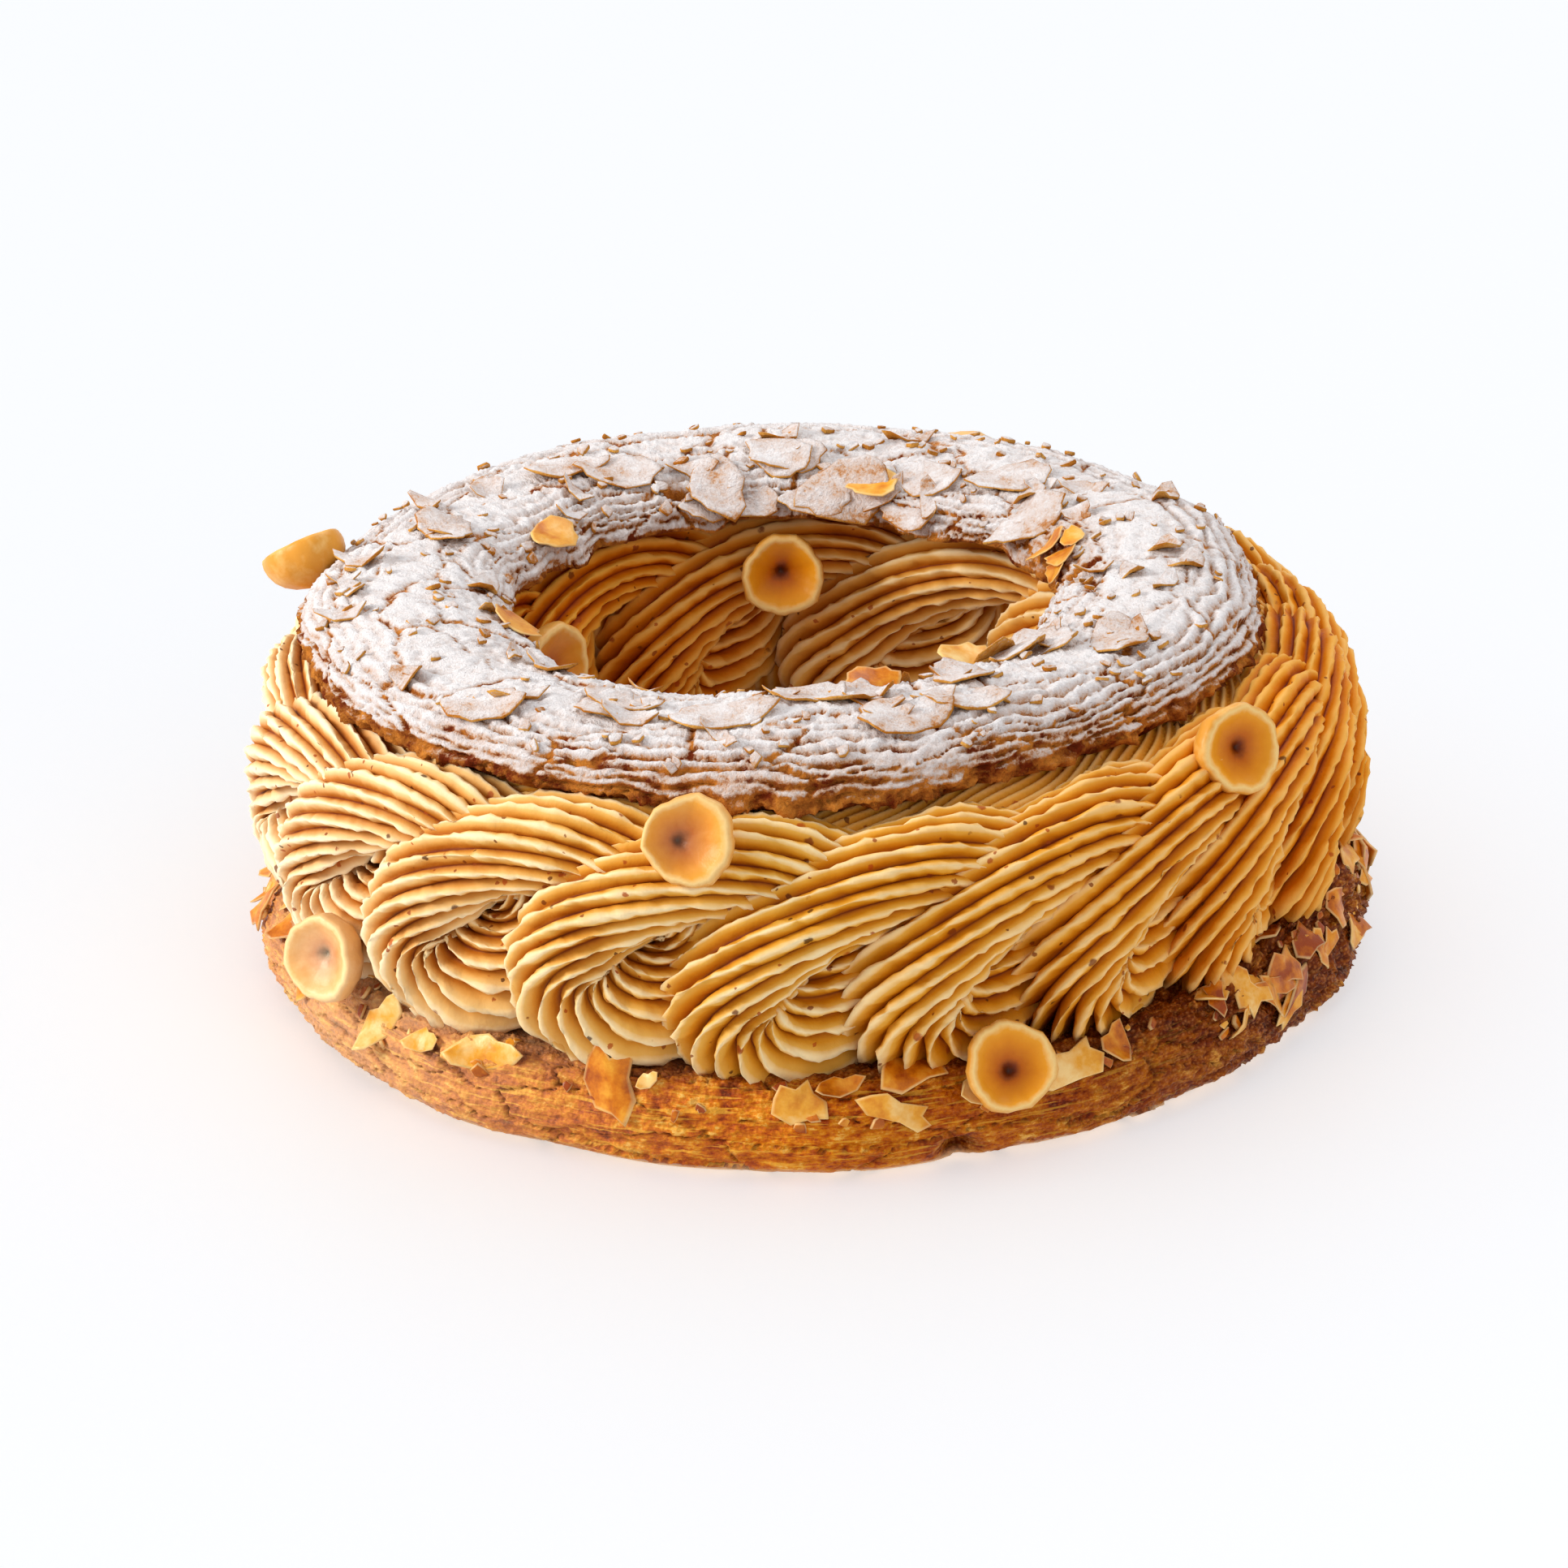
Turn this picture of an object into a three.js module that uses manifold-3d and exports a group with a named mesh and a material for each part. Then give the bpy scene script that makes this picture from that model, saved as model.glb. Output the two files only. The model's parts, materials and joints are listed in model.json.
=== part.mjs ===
// A Paris-Brest: a ring of choux pastry cut level into a bottom crust and a lid, with loops of
// praline cream piped round the outside and the inside between them, and hazelnut halves
// pressed into the cream.
//
// Millimetres, +Z up. The origin is on the table, under the middle of the ring. Azimuth runs
// from the front, -Y, towards +X.
import * as THREE from "three";
import { mergeVertices } from "three/addons/utils/BufferGeometryUtils.js";
import Module from "manifold-3d";

const wasm = await Module();
wasm.setup();

const TURN = 2 * Math.PI;
const DEGREE = Math.PI / 180;
const GAP = 0.3; // clearance that separate pieces keep where they touch

// Bottom crust
const BASE_OUTER = 89.5;
const BASE_INNER = 43;
const BASE_TOP = 15.5;
const BASE_TORN = { azimuth: 74 * DEGREE, spread: 17 * DEGREE, amount: 4.5 }; // torn higher here
const BASE_NARROW = { azimuth: 275 * DEGREE, spread: 40 * DEGREE, amount: 1.5 };
const BASE_STEPS = 45;

// Lid: it was set down a little to the left of the ring's middle
const LID_CENTRE = [-3.5, 1.5];
const LID_OUTER = 76.5;
const LID_INNER = 43.5;
const LID_BOTTOM = 53.5;
const LID_RISE = 12.9;
const LID_FALL = 1.2; // how much lower the dome runs out towards the hole
const LID_RIDGES = 6;
const LID_STEPS = 34;

// Cream: a rope with star-shaped section, laid in loops that travel to the right as one faces
// the wall. The nozzle isn't turned, so its teeth keep their direction while the rope goes round.
const ROPE_RADIUS = 8.7;
const ROPE_THINNING = 0.12; // thinner where the nozzle moves fast over a loop, fatter at its foot
const ROPE_TEETH = 5;
const TOOTH_DEPTH = 0.17; // of the rope's radius
const LOOP_STEPS = 10;
const LOOP_HALF_HEIGHT = 11.3;
const LOOP_MIDDLE = 35.6;
const LOOP_TILT = 7; // how much deeper a loop's right side lies than its left side
const CROWDING = 3.5 * DEGREE; // the loops at the back stand this much further to the left, twice
// each loop's lean in degrees, and how far its middle sits above the usual height, from the
// front loop on
const OUTER_WALL = {
  loops: 19,
  radius: 81.4,
  halfWidth: 15,
  facing: 1,
  start: 0,
  leans: [30, 34, 36, 36, 32, 26, 20, 26, 32, 24, 18, 28, 30, 22, 16, 24, 18, 20, 15],
  rises: [-0.8, -0.5, 0.5, 1, 1, 0, -1.5, 0, 1, 0.5, -0.5, 0, 1, 0, -1, 0, 0, 0.5, 1],
};
const INNER_WALL = {
  loops: 10,
  radius: 54.5,
  halfWidth: 15.5,
  facing: -1,
  start: 10 * DEGREE,
  leans: [24, 30, 20, 28, 18, 26, 32, 22, 30, 20],
  rises: [0, 1, 0, -1, 0.5, 0, -0.5, 1, 0, -0.5],
};
const CORE = { inner: 53.3, outer: 77, bottom: BASE_TOP + 0.7, top: LID_BOTTOM - 0.7 };

// Hazelnut halves
const NUT_RADIUS = 6.9;
const NUT_DEPTH = 7.2;
const NUT_SIDES = 10;
// azimuth and radius of the cut face's middle, its height, the azimuth that the face looks to
// and how far it is tipped up
const NUTS = [
  { azimuth: -12, radius: 86.5, height: 54.5, looks: -8, tip: 26 },
  { azimuth: 18, radius: 93, height: 18.2, looks: 12, tip: 24 },
  { azimuth: -56, radius: 92, height: 21.5, looks: -38, tip: 12 },
  { azimuth: 49, radius: 86.5, height: 54.5, looks: 30, tip: 20 },
  { azimuth: -106, radius: 84.5, height: 61, looks: -140, tip: 55 },
  { azimuth: 108, radius: 92, height: 22, looks: 112, tip: 14 },
  { azimuth: 160, radius: 86, height: 50, looks: 165, tip: 24 },
  { azimuth: -160, radius: 92, height: 20, looks: -158, tip: 14 },
  { azimuth: -176, radius: 41.5, height: 46, looks: 4, tip: 14 },
  { azimuth: -109, radius: 41.5, height: 42.5, looks: 50, tip: 10 },
  { azimuth: -40, radius: 41.5, height: 44, looks: 140, tip: 14 },
  { azimuth: 12, radius: 41.5, height: 34, looks: -168, tip: 10 },
  { azimuth: 66, radius: 41.5, height: 44, looks: -114, tip: 14 },
];

// Unevenness round the ring, as a sum of waves of [size, count, shift].
function uneven(azimuth, waves) {
  return waves.reduce((sum, [size, count, shift]) => sum + size * Math.sin(count * azimuth + shift), 0);
}

// A swelling that fades out round one azimuth, between 0 and a full turn.
function swelling(azimuth, { azimuth: middle, spread, amount }) {
  return amount * Math.exp(-(((azimuth - middle) / spread) ** 2));
}

// One value for each loop, eased from each loop's middle to the next one's.
function perLoop(values, travelled) {
  const index = Math.floor(travelled - 0.5);
  const share = THREE.MathUtils.smoothstep(travelled - 0.5 - index, 0, 1);
  const at = (i) => values[(i + values.length) % values.length];
  return THREE.MathUtils.lerp(at(index), at(index + 1), share);
}

function onRing(azimuth, radius, height, centre = [0, 0]) {
  return new THREE.Vector3(
    centre[0] + radius * Math.sin(azimuth),
    centre[1] - radius * Math.cos(azimuth),
    height,
  );
}

function middleOf(section) {
  return section.reduce((sum, point) => sum.add(point), new THREE.Vector3()).divideScalar(section.length);
}

// A geometry from closed sections of equally many points. The sections close into a ring, or
// end in flat caps.
function skin(sections, { closed }) {
  const sides = sections[0].length;
  const points = sections.flat();
  const faces = [];
  const spans = closed ? sections.length : sections.length - 1;
  for (let i = 0; i < spans; i++) {
    const here = i * sides;
    const next = ((i + 1) % sections.length) * sides;
    for (let j = 0; j < sides; j++) {
      const k = (j + 1) % sides;
      faces.push(here + j, next + j, next + k, here + j, next + k, here + k);
    }
  }
  if (!closed) {
    for (const [section, first, flip] of [[sections[0], 0, 0], [sections.at(-1), spans * sides, 1]]) {
      const middle = points.length;
      points.push(middleOf(section));
      for (let j = 0; j < sides; j++) {
        const k = (j + 1) % sides;
        faces.push(middle, first + (flip ? k : j), first + (flip ? j : k));
      }
    }
  }
  const geometry = new THREE.BufferGeometry().setFromPoints(points);
  geometry.setIndex(faces);
  return geometry;
}

function solidOf(geometry) {
  const bare = geometry.clone();
  bare.deleteAttribute("normal");
  bare.deleteAttribute("uv");
  const merged = mergeVertices(bare, 1e-4);
  const solid = new wasm.Manifold(
    new wasm.Mesh({
      numProp: 3,
      vertProperties: merged.attributes.position.array,
      triVerts: new Uint32Array(merged.index.array),
    }),
  );
  if (solid.volume() <= 0) throw new Error("a piece of the pastry is inside out");
  return solid;
}

function geometryOf(solid) {
  const mesh = solid.getMesh();
  const geometry = new THREE.BufferGeometry();
  geometry.setAttribute("position", new THREE.BufferAttribute(mesh.vertProperties, 3));
  geometry.setIndex(new THREE.BufferAttribute(mesh.triVerts, 1));
  geometry.computeVertexNormals();
  return geometry;
}

// Bottom crust: flat underneath, bulging outside, cut level on top. grow makes it larger all
// round, for cutting its neighbours back.
function baseGeometry(grow = 0) {
  const sections = [];
  for (let i = 0; i < BASE_STEPS; i++) {
    const azimuth = (TURN * i) / BASE_STEPS;
    const wavy = uneven(azimuth, [[0.5, 4, 1.1], [0.4, 9, 2.0], [0.35, 17, 0.4]]);
    const outer = BASE_OUTER + grow + wavy - swelling(azimuth, BASE_NARROW);
    const inner = BASE_INNER - grow + uneven(azimuth, [[0.6, 3, 0.2], [0.5, 8, 1.7]]);
    const torn = swelling(azimuth, BASE_TORN);
    const top = BASE_TOP + grow + torn + uneven(azimuth, [[0.25, 5, 0.6], [0.2, 12, 2.4]]);
    const profile = [
      [inner + 5, -grow],
      [outer - 5, -grow],
      [outer - 1.2, 2.6],
      [outer, 7],
      [outer - 1, 11.5],
      [outer - 3.6, top],
      [outer - 16, BASE_TOP + grow],
      [inner + 3.5, BASE_TOP + grow],
      [inner + 0.4, 10],
      [inner, 5],
    ];
    sections.push(profile.map(([radius, height]) => onRing(azimuth, radius, height)));
  }
  return skin(sections, { closed: true });
}

// Lid: a domed strip with the piped ridges running round it, and a level cut underneath.
function lidGeometry(grow = 0) {
  const sections = [];
  const halfWidth = (LID_OUTER - LID_INNER) / 2;
  const points = 2 * LID_RIDGES;
  for (let i = 0; i < LID_STEPS; i++) {
    const azimuth = (TURN * i) / LID_STEPS;
    const middle = (LID_OUTER + LID_INNER) / 2 + uneven(azimuth, [[0.5, 3, 2.2], [0.4, 7, 0.5]]);
    const width = halfWidth + grow + uneven(azimuth, [[0.6, 5, 1.4], [0.4, 11, 0.3]]);
    const rise = LID_RISE + grow + uneven(azimuth, [[0.5, 4, 0.8], [0.4, 10, 1.9]]);
    const profile = [[middle - width + 1.5, LID_BOTTOM - grow], [middle + width - 1.5, LID_BOTTOM - grow]];
    for (let j = 0; j <= points; j++) {
      const along = (j / points) * Math.PI;
      const groove = j % 2 ? 0.5 : 0;
      const fall = (LID_FALL * Math.sin(along) * (1 - Math.cos(along))) / 2;
      const lift = 1.2 + (rise - 1.2) * Math.sin(along) ** 0.75 - fall;
      profile.push([middle + (width - groove) * Math.cos(along), LID_BOTTOM + lift - groove]);
    }
    sections.push(profile.map(([radius, height]) => onRing(azimuth, radius, height, LID_CENTRE)));
  }
  return skin(sections, { closed: true });
}

// Where the rope's middle lies after so many loops along a wall.
function ropeMiddle(wall, travelled) {
  const phase = Math.PI / 2 - TURN * travelled; // 90 degrees is the loop's top, 0 its right side
  const up = LOOP_HALF_HEIGHT * Math.sin(phase);
  const lean = perLoop(wall.leans, travelled) * DEGREE;
  const across = wall.halfWidth * Math.cos(phase) + up * Math.tan(lean);
  const even = (TURN * (travelled - 0.5)) / wall.loops + across / wall.radius;
  const azimuth = even - CROWDING * (1 - Math.cos(even));
  const depth = (LOOP_TILT * (1 + Math.cos(phase))) / 2;
  return onRing(
    wall.start + wall.facing * azimuth,
    wall.radius - wall.facing * depth,
    LOOP_MIDDLE + perLoop(wall.rises, travelled) + up,
  );
}

// One section of the rope. Its points keep to the nozzle's teeth and the valleys between them.
function ropeSection(wall, travelled) {
  const step = 1e-3;
  const middle = ropeMiddle(wall, travelled);
  const before = ropeMiddle(wall, travelled - step);
  const after = ropeMiddle(wall, travelled + step);
  const along = after.clone().sub(before).normalize();
  const bend = after.clone().add(before).sub(middle.clone().multiplyScalar(2));
  const curvature = bend.length() / middle.distanceTo(after) ** 2;
  const room = 0.9 / curvature; // how far the rope may reach towards the middle of its bend
  const inwards = bend.normalize();
  const radial = new THREE.Vector3(middle.x, middle.y, 0).normalize().multiplyScalar(wall.facing);
  const outwards = radial.clone().addScaledVector(along, -radial.dot(along)).normalize();
  const leftwards = outwards.clone().cross(along);
  const right = new THREE.Vector3(0, 0, 1).cross(radial);
  const heading = Math.atan2(along.z, along.dot(right));
  const thickness = ROPE_RADIUS * (1 - ROPE_THINNING * Math.sin(Math.PI / 2 - TURN * travelled));
  const section = [];
  for (let i = 0; i < 2 * ROPE_TEETH; i++) {
    const tooth = (TURN * i) / (2 * ROPE_TEETH);
    const side = heading + Math.PI + tooth;
    const reach = thickness * (i % 2 ? 1 - TOOTH_DEPTH : 1);
    const offset = outwards.clone().multiplyScalar(reach * Math.cos(side));
    offset.addScaledVector(leftwards, reach * Math.sin(side));
    const inward = offset.dot(inwards);
    if (inward > room) offset.addScaledVector(inwards, room - inward);
    section.push(middle.clone().add(offset));
  }
  return section;
}

// A smaller section a little way on from one, for an end that plugs into the next half loop.
function plugSection(section, from) {
  const middle = middleOf(section);
  const onward = middle.clone().sub(middleOf(from)).setLength(2);
  return section.map((point) => point.clone().lerp(middle, 0.35).add(onward));
}

// Half a loop of the rope as a solid. The next half starts on exactly the same section, and the
// last ends on the first one's.
function halfLoop(wall, half) {
  const sections = [];
  for (let i = 0; i <= LOOP_STEPS / 2; i++) {
    const step = ((half * LOOP_STEPS) / 2 + i) % (wall.loops * LOOP_STEPS);
    sections.push(ropeSection(wall, step / LOOP_STEPS));
  }
  const start = plugSection(sections[0], sections[1]);
  const end = plugSection(sections.at(-1), sections.at(-2));
  return solidOf(skin([start, ...sections, end], { closed: false }));
}

function coreGeometry() {
  const shape = new THREE.Shape().absarc(0, 0, CORE.outer, 0, TURN);
  shape.holes.push(new THREE.Path().absarc(0, 0, CORE.inner, 0, TURN));
  const geometry = new THREE.ExtrudeGeometry(shape, {
    depth: CORE.top - CORE.bottom,
    bevelEnabled: false,
    curveSegments: 24,
  });
  return geometry.translate(0, 0, CORE.bottom);
}

// Half a hazelnut, its cut face looking along +Y, with the hollow between its seed leaves.
function nutGeometry(grow = 0) {
  const rim = NUT_RADIUS + grow;
  const profile = [
    [0, -NUT_DEPTH - grow],
    [0.62 * rim, -0.8 * NUT_DEPTH - grow],
    [0.97 * rim, -0.38 * NUT_DEPTH],
    [rim, -0.6],
    [0.9 * rim, grow],
    [grow ? 0.4 * rim : 0.3 * rim, grow || -0.9],
    [0, grow || -2.2],
  ];
  return new THREE.LatheGeometry(profile.map(([x, y]) => new THREE.Vector2(x, y)), NUT_SIDES);
}

function placeNut(mesh, { azimuth, radius, height, looks, tip }) {
  const level = onRing(looks * DEGREE, Math.cos(tip * DEGREE), Math.sin(tip * DEGREE));
  mesh.position.copy(onRing(azimuth * DEGREE, radius, height));
  mesh.quaternion.setFromUnitVectors(new THREE.Vector3(0, 1, 0), level.normalize());
  mesh.updateMatrixWorld();
}

// All the hazelnuts, a gap larger, as one cutter.
function nutCutter() {
  const cutters = NUTS.map((nut) => {
    const mesh = new THREE.Mesh(nutGeometry(GAP));
    placeNut(mesh, nut);
    return solidOf(mesh.geometry.applyMatrix4(mesh.matrixWorld));
  });
  return wasm.Manifold.union(cutters);
}

// Leaves out closed pockets between the loops, and loose crumbs.
function largestShell(solid) {
  return solid.decompose().reduce((best, shell) => (shell.volume() > best.volume() ? shell : best));
}

function creamSolid(cutter) {
  const pieces = [solidOf(coreGeometry())];
  for (const wall of [OUTER_WALL, INNER_WALL]) {
    for (let half = 0; half < 2 * wall.loops; half++) pieces.push(halfLoop(wall, half));
  }
  const cut = wasm.Manifold.union(pieces)
    .simplify(1)
    .subtract(solidOf(baseGeometry(GAP)))
    .subtract(solidOf(lidGeometry(GAP)))
    .subtract(cutter);
  return largestShell(cut.simplify(0.03));
}

const food = (color, roughness) => new THREE.MeshStandardMaterial({ color, roughness, metalness: 0 });
const crustBrown = food(0xc98a3e, 0.75);
const sugared = food(0xe9dfd8, 0.9);
const praline = food(0xd9a662, 0.5);
const nutFlesh = food(0xe6bd78, 0.55);

function named(name, geometry, material) {
  const mesh = new THREE.Mesh(geometry, material);
  mesh.name = name;
  return mesh;
}

const pastry = new THREE.Group();
const nutHoles = nutCutter();
pastry.add(named("base_crust", geometryOf(solidOf(baseGeometry()).subtract(nutHoles)), crustBrown));
pastry.add(named("cream", geometryOf(creamSolid(nutHoles)), praline));
pastry.add(named("lid_crust", geometryOf(solidOf(lidGeometry()).subtract(nutHoles)), sugared));
NUTS.forEach((nut, i) => {
  const mesh = named(`hazelnut_${String(i + 1).padStart(2, "0")}`, nutGeometry(), nutFlesh);
  placeNut(mesh, nut);
  pastry.add(mesh);
});

export default pastry;
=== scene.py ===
"""A Paris-Brest: a ring of baked choux with looped praline cream, hazelnut halves, flaked almonds
and icing sugar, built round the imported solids. Lengths are in metres, +Z up, -Y to the front."""

import json
import math
from functools import partial

import bpy
import numpy as np
from mathutils import Matrix, Vector

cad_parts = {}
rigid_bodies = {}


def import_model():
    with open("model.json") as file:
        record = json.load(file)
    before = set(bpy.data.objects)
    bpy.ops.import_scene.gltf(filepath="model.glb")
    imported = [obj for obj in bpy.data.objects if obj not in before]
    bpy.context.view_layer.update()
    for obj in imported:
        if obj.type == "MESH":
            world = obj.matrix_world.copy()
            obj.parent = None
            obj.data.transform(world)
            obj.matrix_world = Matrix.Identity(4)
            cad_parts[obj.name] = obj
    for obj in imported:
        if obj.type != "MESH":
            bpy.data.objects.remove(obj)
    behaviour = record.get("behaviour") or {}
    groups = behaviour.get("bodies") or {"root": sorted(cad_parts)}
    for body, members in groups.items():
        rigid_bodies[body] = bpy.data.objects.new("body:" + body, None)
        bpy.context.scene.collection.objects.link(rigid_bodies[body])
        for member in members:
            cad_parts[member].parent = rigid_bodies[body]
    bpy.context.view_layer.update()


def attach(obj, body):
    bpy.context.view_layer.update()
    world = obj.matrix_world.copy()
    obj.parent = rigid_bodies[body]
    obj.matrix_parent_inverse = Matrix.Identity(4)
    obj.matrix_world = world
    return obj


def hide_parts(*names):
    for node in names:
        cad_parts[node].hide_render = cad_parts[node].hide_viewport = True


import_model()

MM = 0.001
TAU = 2 * math.pi
rng = np.random.default_rng(11)

# the kinds of node that are used most
MATH, VECTOR_MATH, MIX = "ShaderNodeMath", "ShaderNodeVectorMath", "ShaderNodeMix"
NOISE, CELLS, RAMP = "ShaderNodeTexNoise", "ShaderNodeTexVoronoi", "ShaderNodeValToRGB"
MAP_RANGE, JOIN, SPLIT = "ShaderNodeMapRange", "ShaderNodeCombineXYZ", "ShaderNodeSeparateXYZ"
MOVE, READ = "GeometryNodeSetPosition", "GeometryNodeInputNamedAttribute"
STORE = "GeometryNodeStoreNamedAttribute"


# Helpers


def add_node(tree, kind, values=(), operation=None, **settings):
    """Adds a node with its operation, if it has one, and its settings, and fills its inputs from
    nodes, sockets or plain values."""
    node = tree.nodes.new(kind)
    if operation:
        node.operation = operation
    for name, value in settings.items():
        setattr(node, name, value)
    for key, value in values.items() if isinstance(values, dict) else enumerate(values):
        if isinstance(value, bpy.types.Node):
            value = next(socket for socket in value.outputs if socket.enabled)
        if isinstance(value, bpy.types.NodeSocket):
            tree.links.new(value, node.inputs[key])
        elif value is not None:
            node.inputs[key].default_value = value
    return node


def new_tree(name, **inputs):
    """What adds nodes to a new Geometry Nodes tree, what the tree is given, and its output node.
    Its inputs are lists of names, by their kind."""
    tree = bpy.data.node_groups.new(name, "GeometryNodeTree")
    for direction in ("INPUT", "OUTPUT"):
        tree.interface.new_socket("Geometry", in_out=direction, socket_type="NodeSocketGeometry")
    for kind, labels in inputs.items():
        for label in labels:
            tree.interface.new_socket(label, in_out="INPUT", socket_type="NodeSocket" + kind)
    given = tree.nodes.new("NodeGroupInput").outputs
    return partial(add_node, tree), given, tree.nodes.new("NodeGroupOutput")


def end_tree(add, shapes, material, result):
    """Ends a Geometry Nodes tree: its shapes are smooth, real and of one material."""
    shapes = add("GeometryNodeSetShadeSmooth", [shapes])
    shapes = add("GeometryNodeRealizeInstances", [shapes])
    shapes = add("GeometryNodeSetMaterial", [shapes, None, material])
    tree = result.id_data
    tree.links.new(shapes.outputs[0], result.inputs[0])
    return tree


def grow(piece, tree, **sizes):
    """Runs a tree on a piece and keeps the result as the piece's own plain mesh."""
    modifier = piece.modifiers.new(tree.name, "NODES")
    modifier.node_group = tree
    for socket in tree.interface.items_tree:
        label = socket.name.replace(" ", "_").lower()
        if socket.in_out == "INPUT" and label in sizes:
            modifier[socket.identifier] = sizes.pop(label)
    assert not sizes, f"{tree.name} has no input for {sizes}"
    graph = bpy.context.evaluated_depsgraph_get()
    mesh = bpy.data.meshes.new_from_object(piece.evaluated_get(graph), depsgraph=graph)
    piece.modifiers.remove(modifier)
    piece.data = mesh


def mesh_piece(name, points, faces=(), edges=(), **attributes):
    """A mesh object from points, faces or edges, and a value or a vector for each point."""
    mesh = bpy.data.meshes.new(name)
    points = np.asarray(points, np.float32).reshape(-1, 3)
    mesh.vertices.add(len(points))
    mesh.vertices.foreach_set("co", points.ravel())
    if len(edges):
        mesh.edges.add(len(edges))
        mesh.edges.foreach_set("vertices", np.asarray(edges, np.int32).ravel())
    if len(faces):
        faces = np.asarray(faces, np.int32)
        mesh.loops.add(faces.size)
        mesh.loops.foreach_set("vertex_index", faces.ravel())
        mesh.polygons.add(len(faces))
        starts = np.arange(0, faces.size, faces.shape[1], dtype=np.int32)
        mesh.polygons.foreach_set("loop_start", starts)
    mesh.update(calc_edges=True)
    mesh.polygons.foreach_set("use_smooth", np.ones(len(faces), bool))
    for label, values in attributes.items():
        values = np.asarray(values, np.float32)
        vector = values.size == points.size
        kind, field = ("FLOAT_VECTOR", "vector") if vector else ("FLOAT", "value")
        mesh.attributes.new(label, kind, "POINT").data.foreach_set(field, values.ravel())
    piece = bpy.data.objects.new(name, mesh)
    bpy.context.scene.collection.objects.link(piece)
    return piece


def grid_faces(rows, columns, close_rows=True):
    """Quads over a grid of points, whose columns and, if asked, rows close into rings."""
    i = np.arange(rows if close_rows else rows - 1)[:, None]
    j = np.arange(columns)[None, :]
    below, right = (i + 1) % rows, (j + 1) % columns
    corners = [i * columns + j, below * columns + j, below * columns + right, i * columns + right]
    return np.stack(np.broadcast_arrays(*corners), -1).reshape(-1, 4)


def at_height(outline, height):
    """An outline of flat points, all at one height."""
    return np.pad(outline, ((0, 0), (0, 1)), constant_values=height)


def closed_stack(rings, ends):
    """The points and triangles of a stack of rings, with a point to close each of its ends."""
    quads = grid_faces(len(rings), len(rings[0]), close_rows=False)
    here = np.arange(len(rings[0]))
    onward, top = np.roll(here, -1), here * 0 + len(rings) * len(here)
    last = top - len(here)
    caps = np.stack([top, here, onward, top + 1, last + onward, last + here], -1)
    faces = [part.reshape(-1, 3) for part in (quads[:, [0, 1, 2, 0, 2, 3]], caps)]
    return np.concatenate([*rings, ends]), np.concatenate(faces)


def all_round(count):
    """So many azimuths, evenly round a full turn."""
    return np.linspace(0, TAU, count, endpoint=False)


def on_ring(azimuth, radius, height, centre=(0, 0)):
    """Points at azimuths from the front, -Y, towards +X."""
    x = centre[0] + radius * np.sin(azimuth)
    y = centre[1] - radius * np.cos(azimuth)
    return np.stack(np.broadcast_arrays(x, y, height), -1)


def waves(azimuth, *terms):
    """A sum of waves round the ring, each of a size, a count and a shift."""
    return sum(size * np.sin(count * azimuth + shift) for size, count, shift in terms)


def ragged(azimuth, count, seed):
    """Random values from -1 to 1 at so many places round the ring, with straight runs between."""
    values = np.random.default_rng(seed).uniform(-1, 1, count)
    at = np.mod(azimuth / TAU, 1) * count
    index = np.floor(at).astype(int)
    share = at - index
    return values[index % count] * (1 - share) + values[(index + 1) % count] * share


def swelling(azimuth, middle, spread):
    """1 at one azimuth, fading out round it. The azimuth is in radians, from 0 to a full turn;
    the middle and the spread are in degrees."""
    return np.exp(-(((np.degrees(np.mod(azimuth, TAU)) - middle) / spread) ** 2))


def fade(value, start, end):
    """0 before start, 1 after end, and an eased rise between."""
    share = np.clip((value - start) / (end - start), 0, 1)
    return share * share * (3 - 2 * share)


def unit(vectors):
    """The vectors, each made one unit long."""
    return vectors / np.linalg.norm(vectors, axis=-1, keepdims=True)


def dot(a, b):
    """The dot products of two lists of vectors, as a column."""
    return np.sum(a * b, -1, keepdims=True)


def finish_piece(piece, slot, *nodes):
    """Joins a piece to the pastry: it rides on the body, and stands for these solids."""
    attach(piece, "root")
    if nodes:
        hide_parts(*nodes)


# Materials


def linear(colour):
    """An sRGB hex colour as linear RGBA."""
    channels = [int(colour[i : i + 2], 16) / 255 for i in (1, 3, 5)]
    return (*[c / 12.92 if c <= 0.04045 else ((c + 0.055) / 1.055) ** 2.4 for c in channels], 1)


def new_material(name, roughness, ior, shine=0.5):
    """A material, what adds nodes to it, and its shader."""
    material = bpy.data.materials.new(name)
    material.use_nodes = True
    shader = material.node_tree.nodes["Principled BSDF"]
    shader.inputs["Roughness"].default_value = roughness
    shader.inputs["IOR"].default_value = ior
    shader.inputs["Specular IOR Level"].default_value = shine
    return material, partial(add_node, material.node_tree), shader


def read_surface(add, *labels):
    """Sockets that give the place on a piece, and then the piece's attributes of these names."""
    sockets = [add("ShaderNodeTexCoord").outputs["Object"]]
    for label in labels:
        sockets.append(add("ShaderNodeAttribute", attribute_name=label).outputs["Fac"])
    return sockets


def coat(add, shader, colour, layers, bumps):
    """Gives a shader its colour, under layers of a share and a colour, and its unevenness, in
    layers of a strength, a depth in mm and a pattern."""
    for share, over in layers:
        colour = add(MIX, {0: share, 6: colour, 7: over}, data_type="RGBA").outputs[2]
    bump = None
    for strength, depth, pattern in bumps:
        bump = {"Strength": strength, "Distance": depth * MM, "Height": pattern, "Normal": bump}
        bump = add("ShaderNodeBump", bump)
    links = shader.id_data.links
    links.new(colour, shader.inputs["Base Color"])
    links.new(bump.outputs[0], shader.inputs["Normal"])


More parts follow.
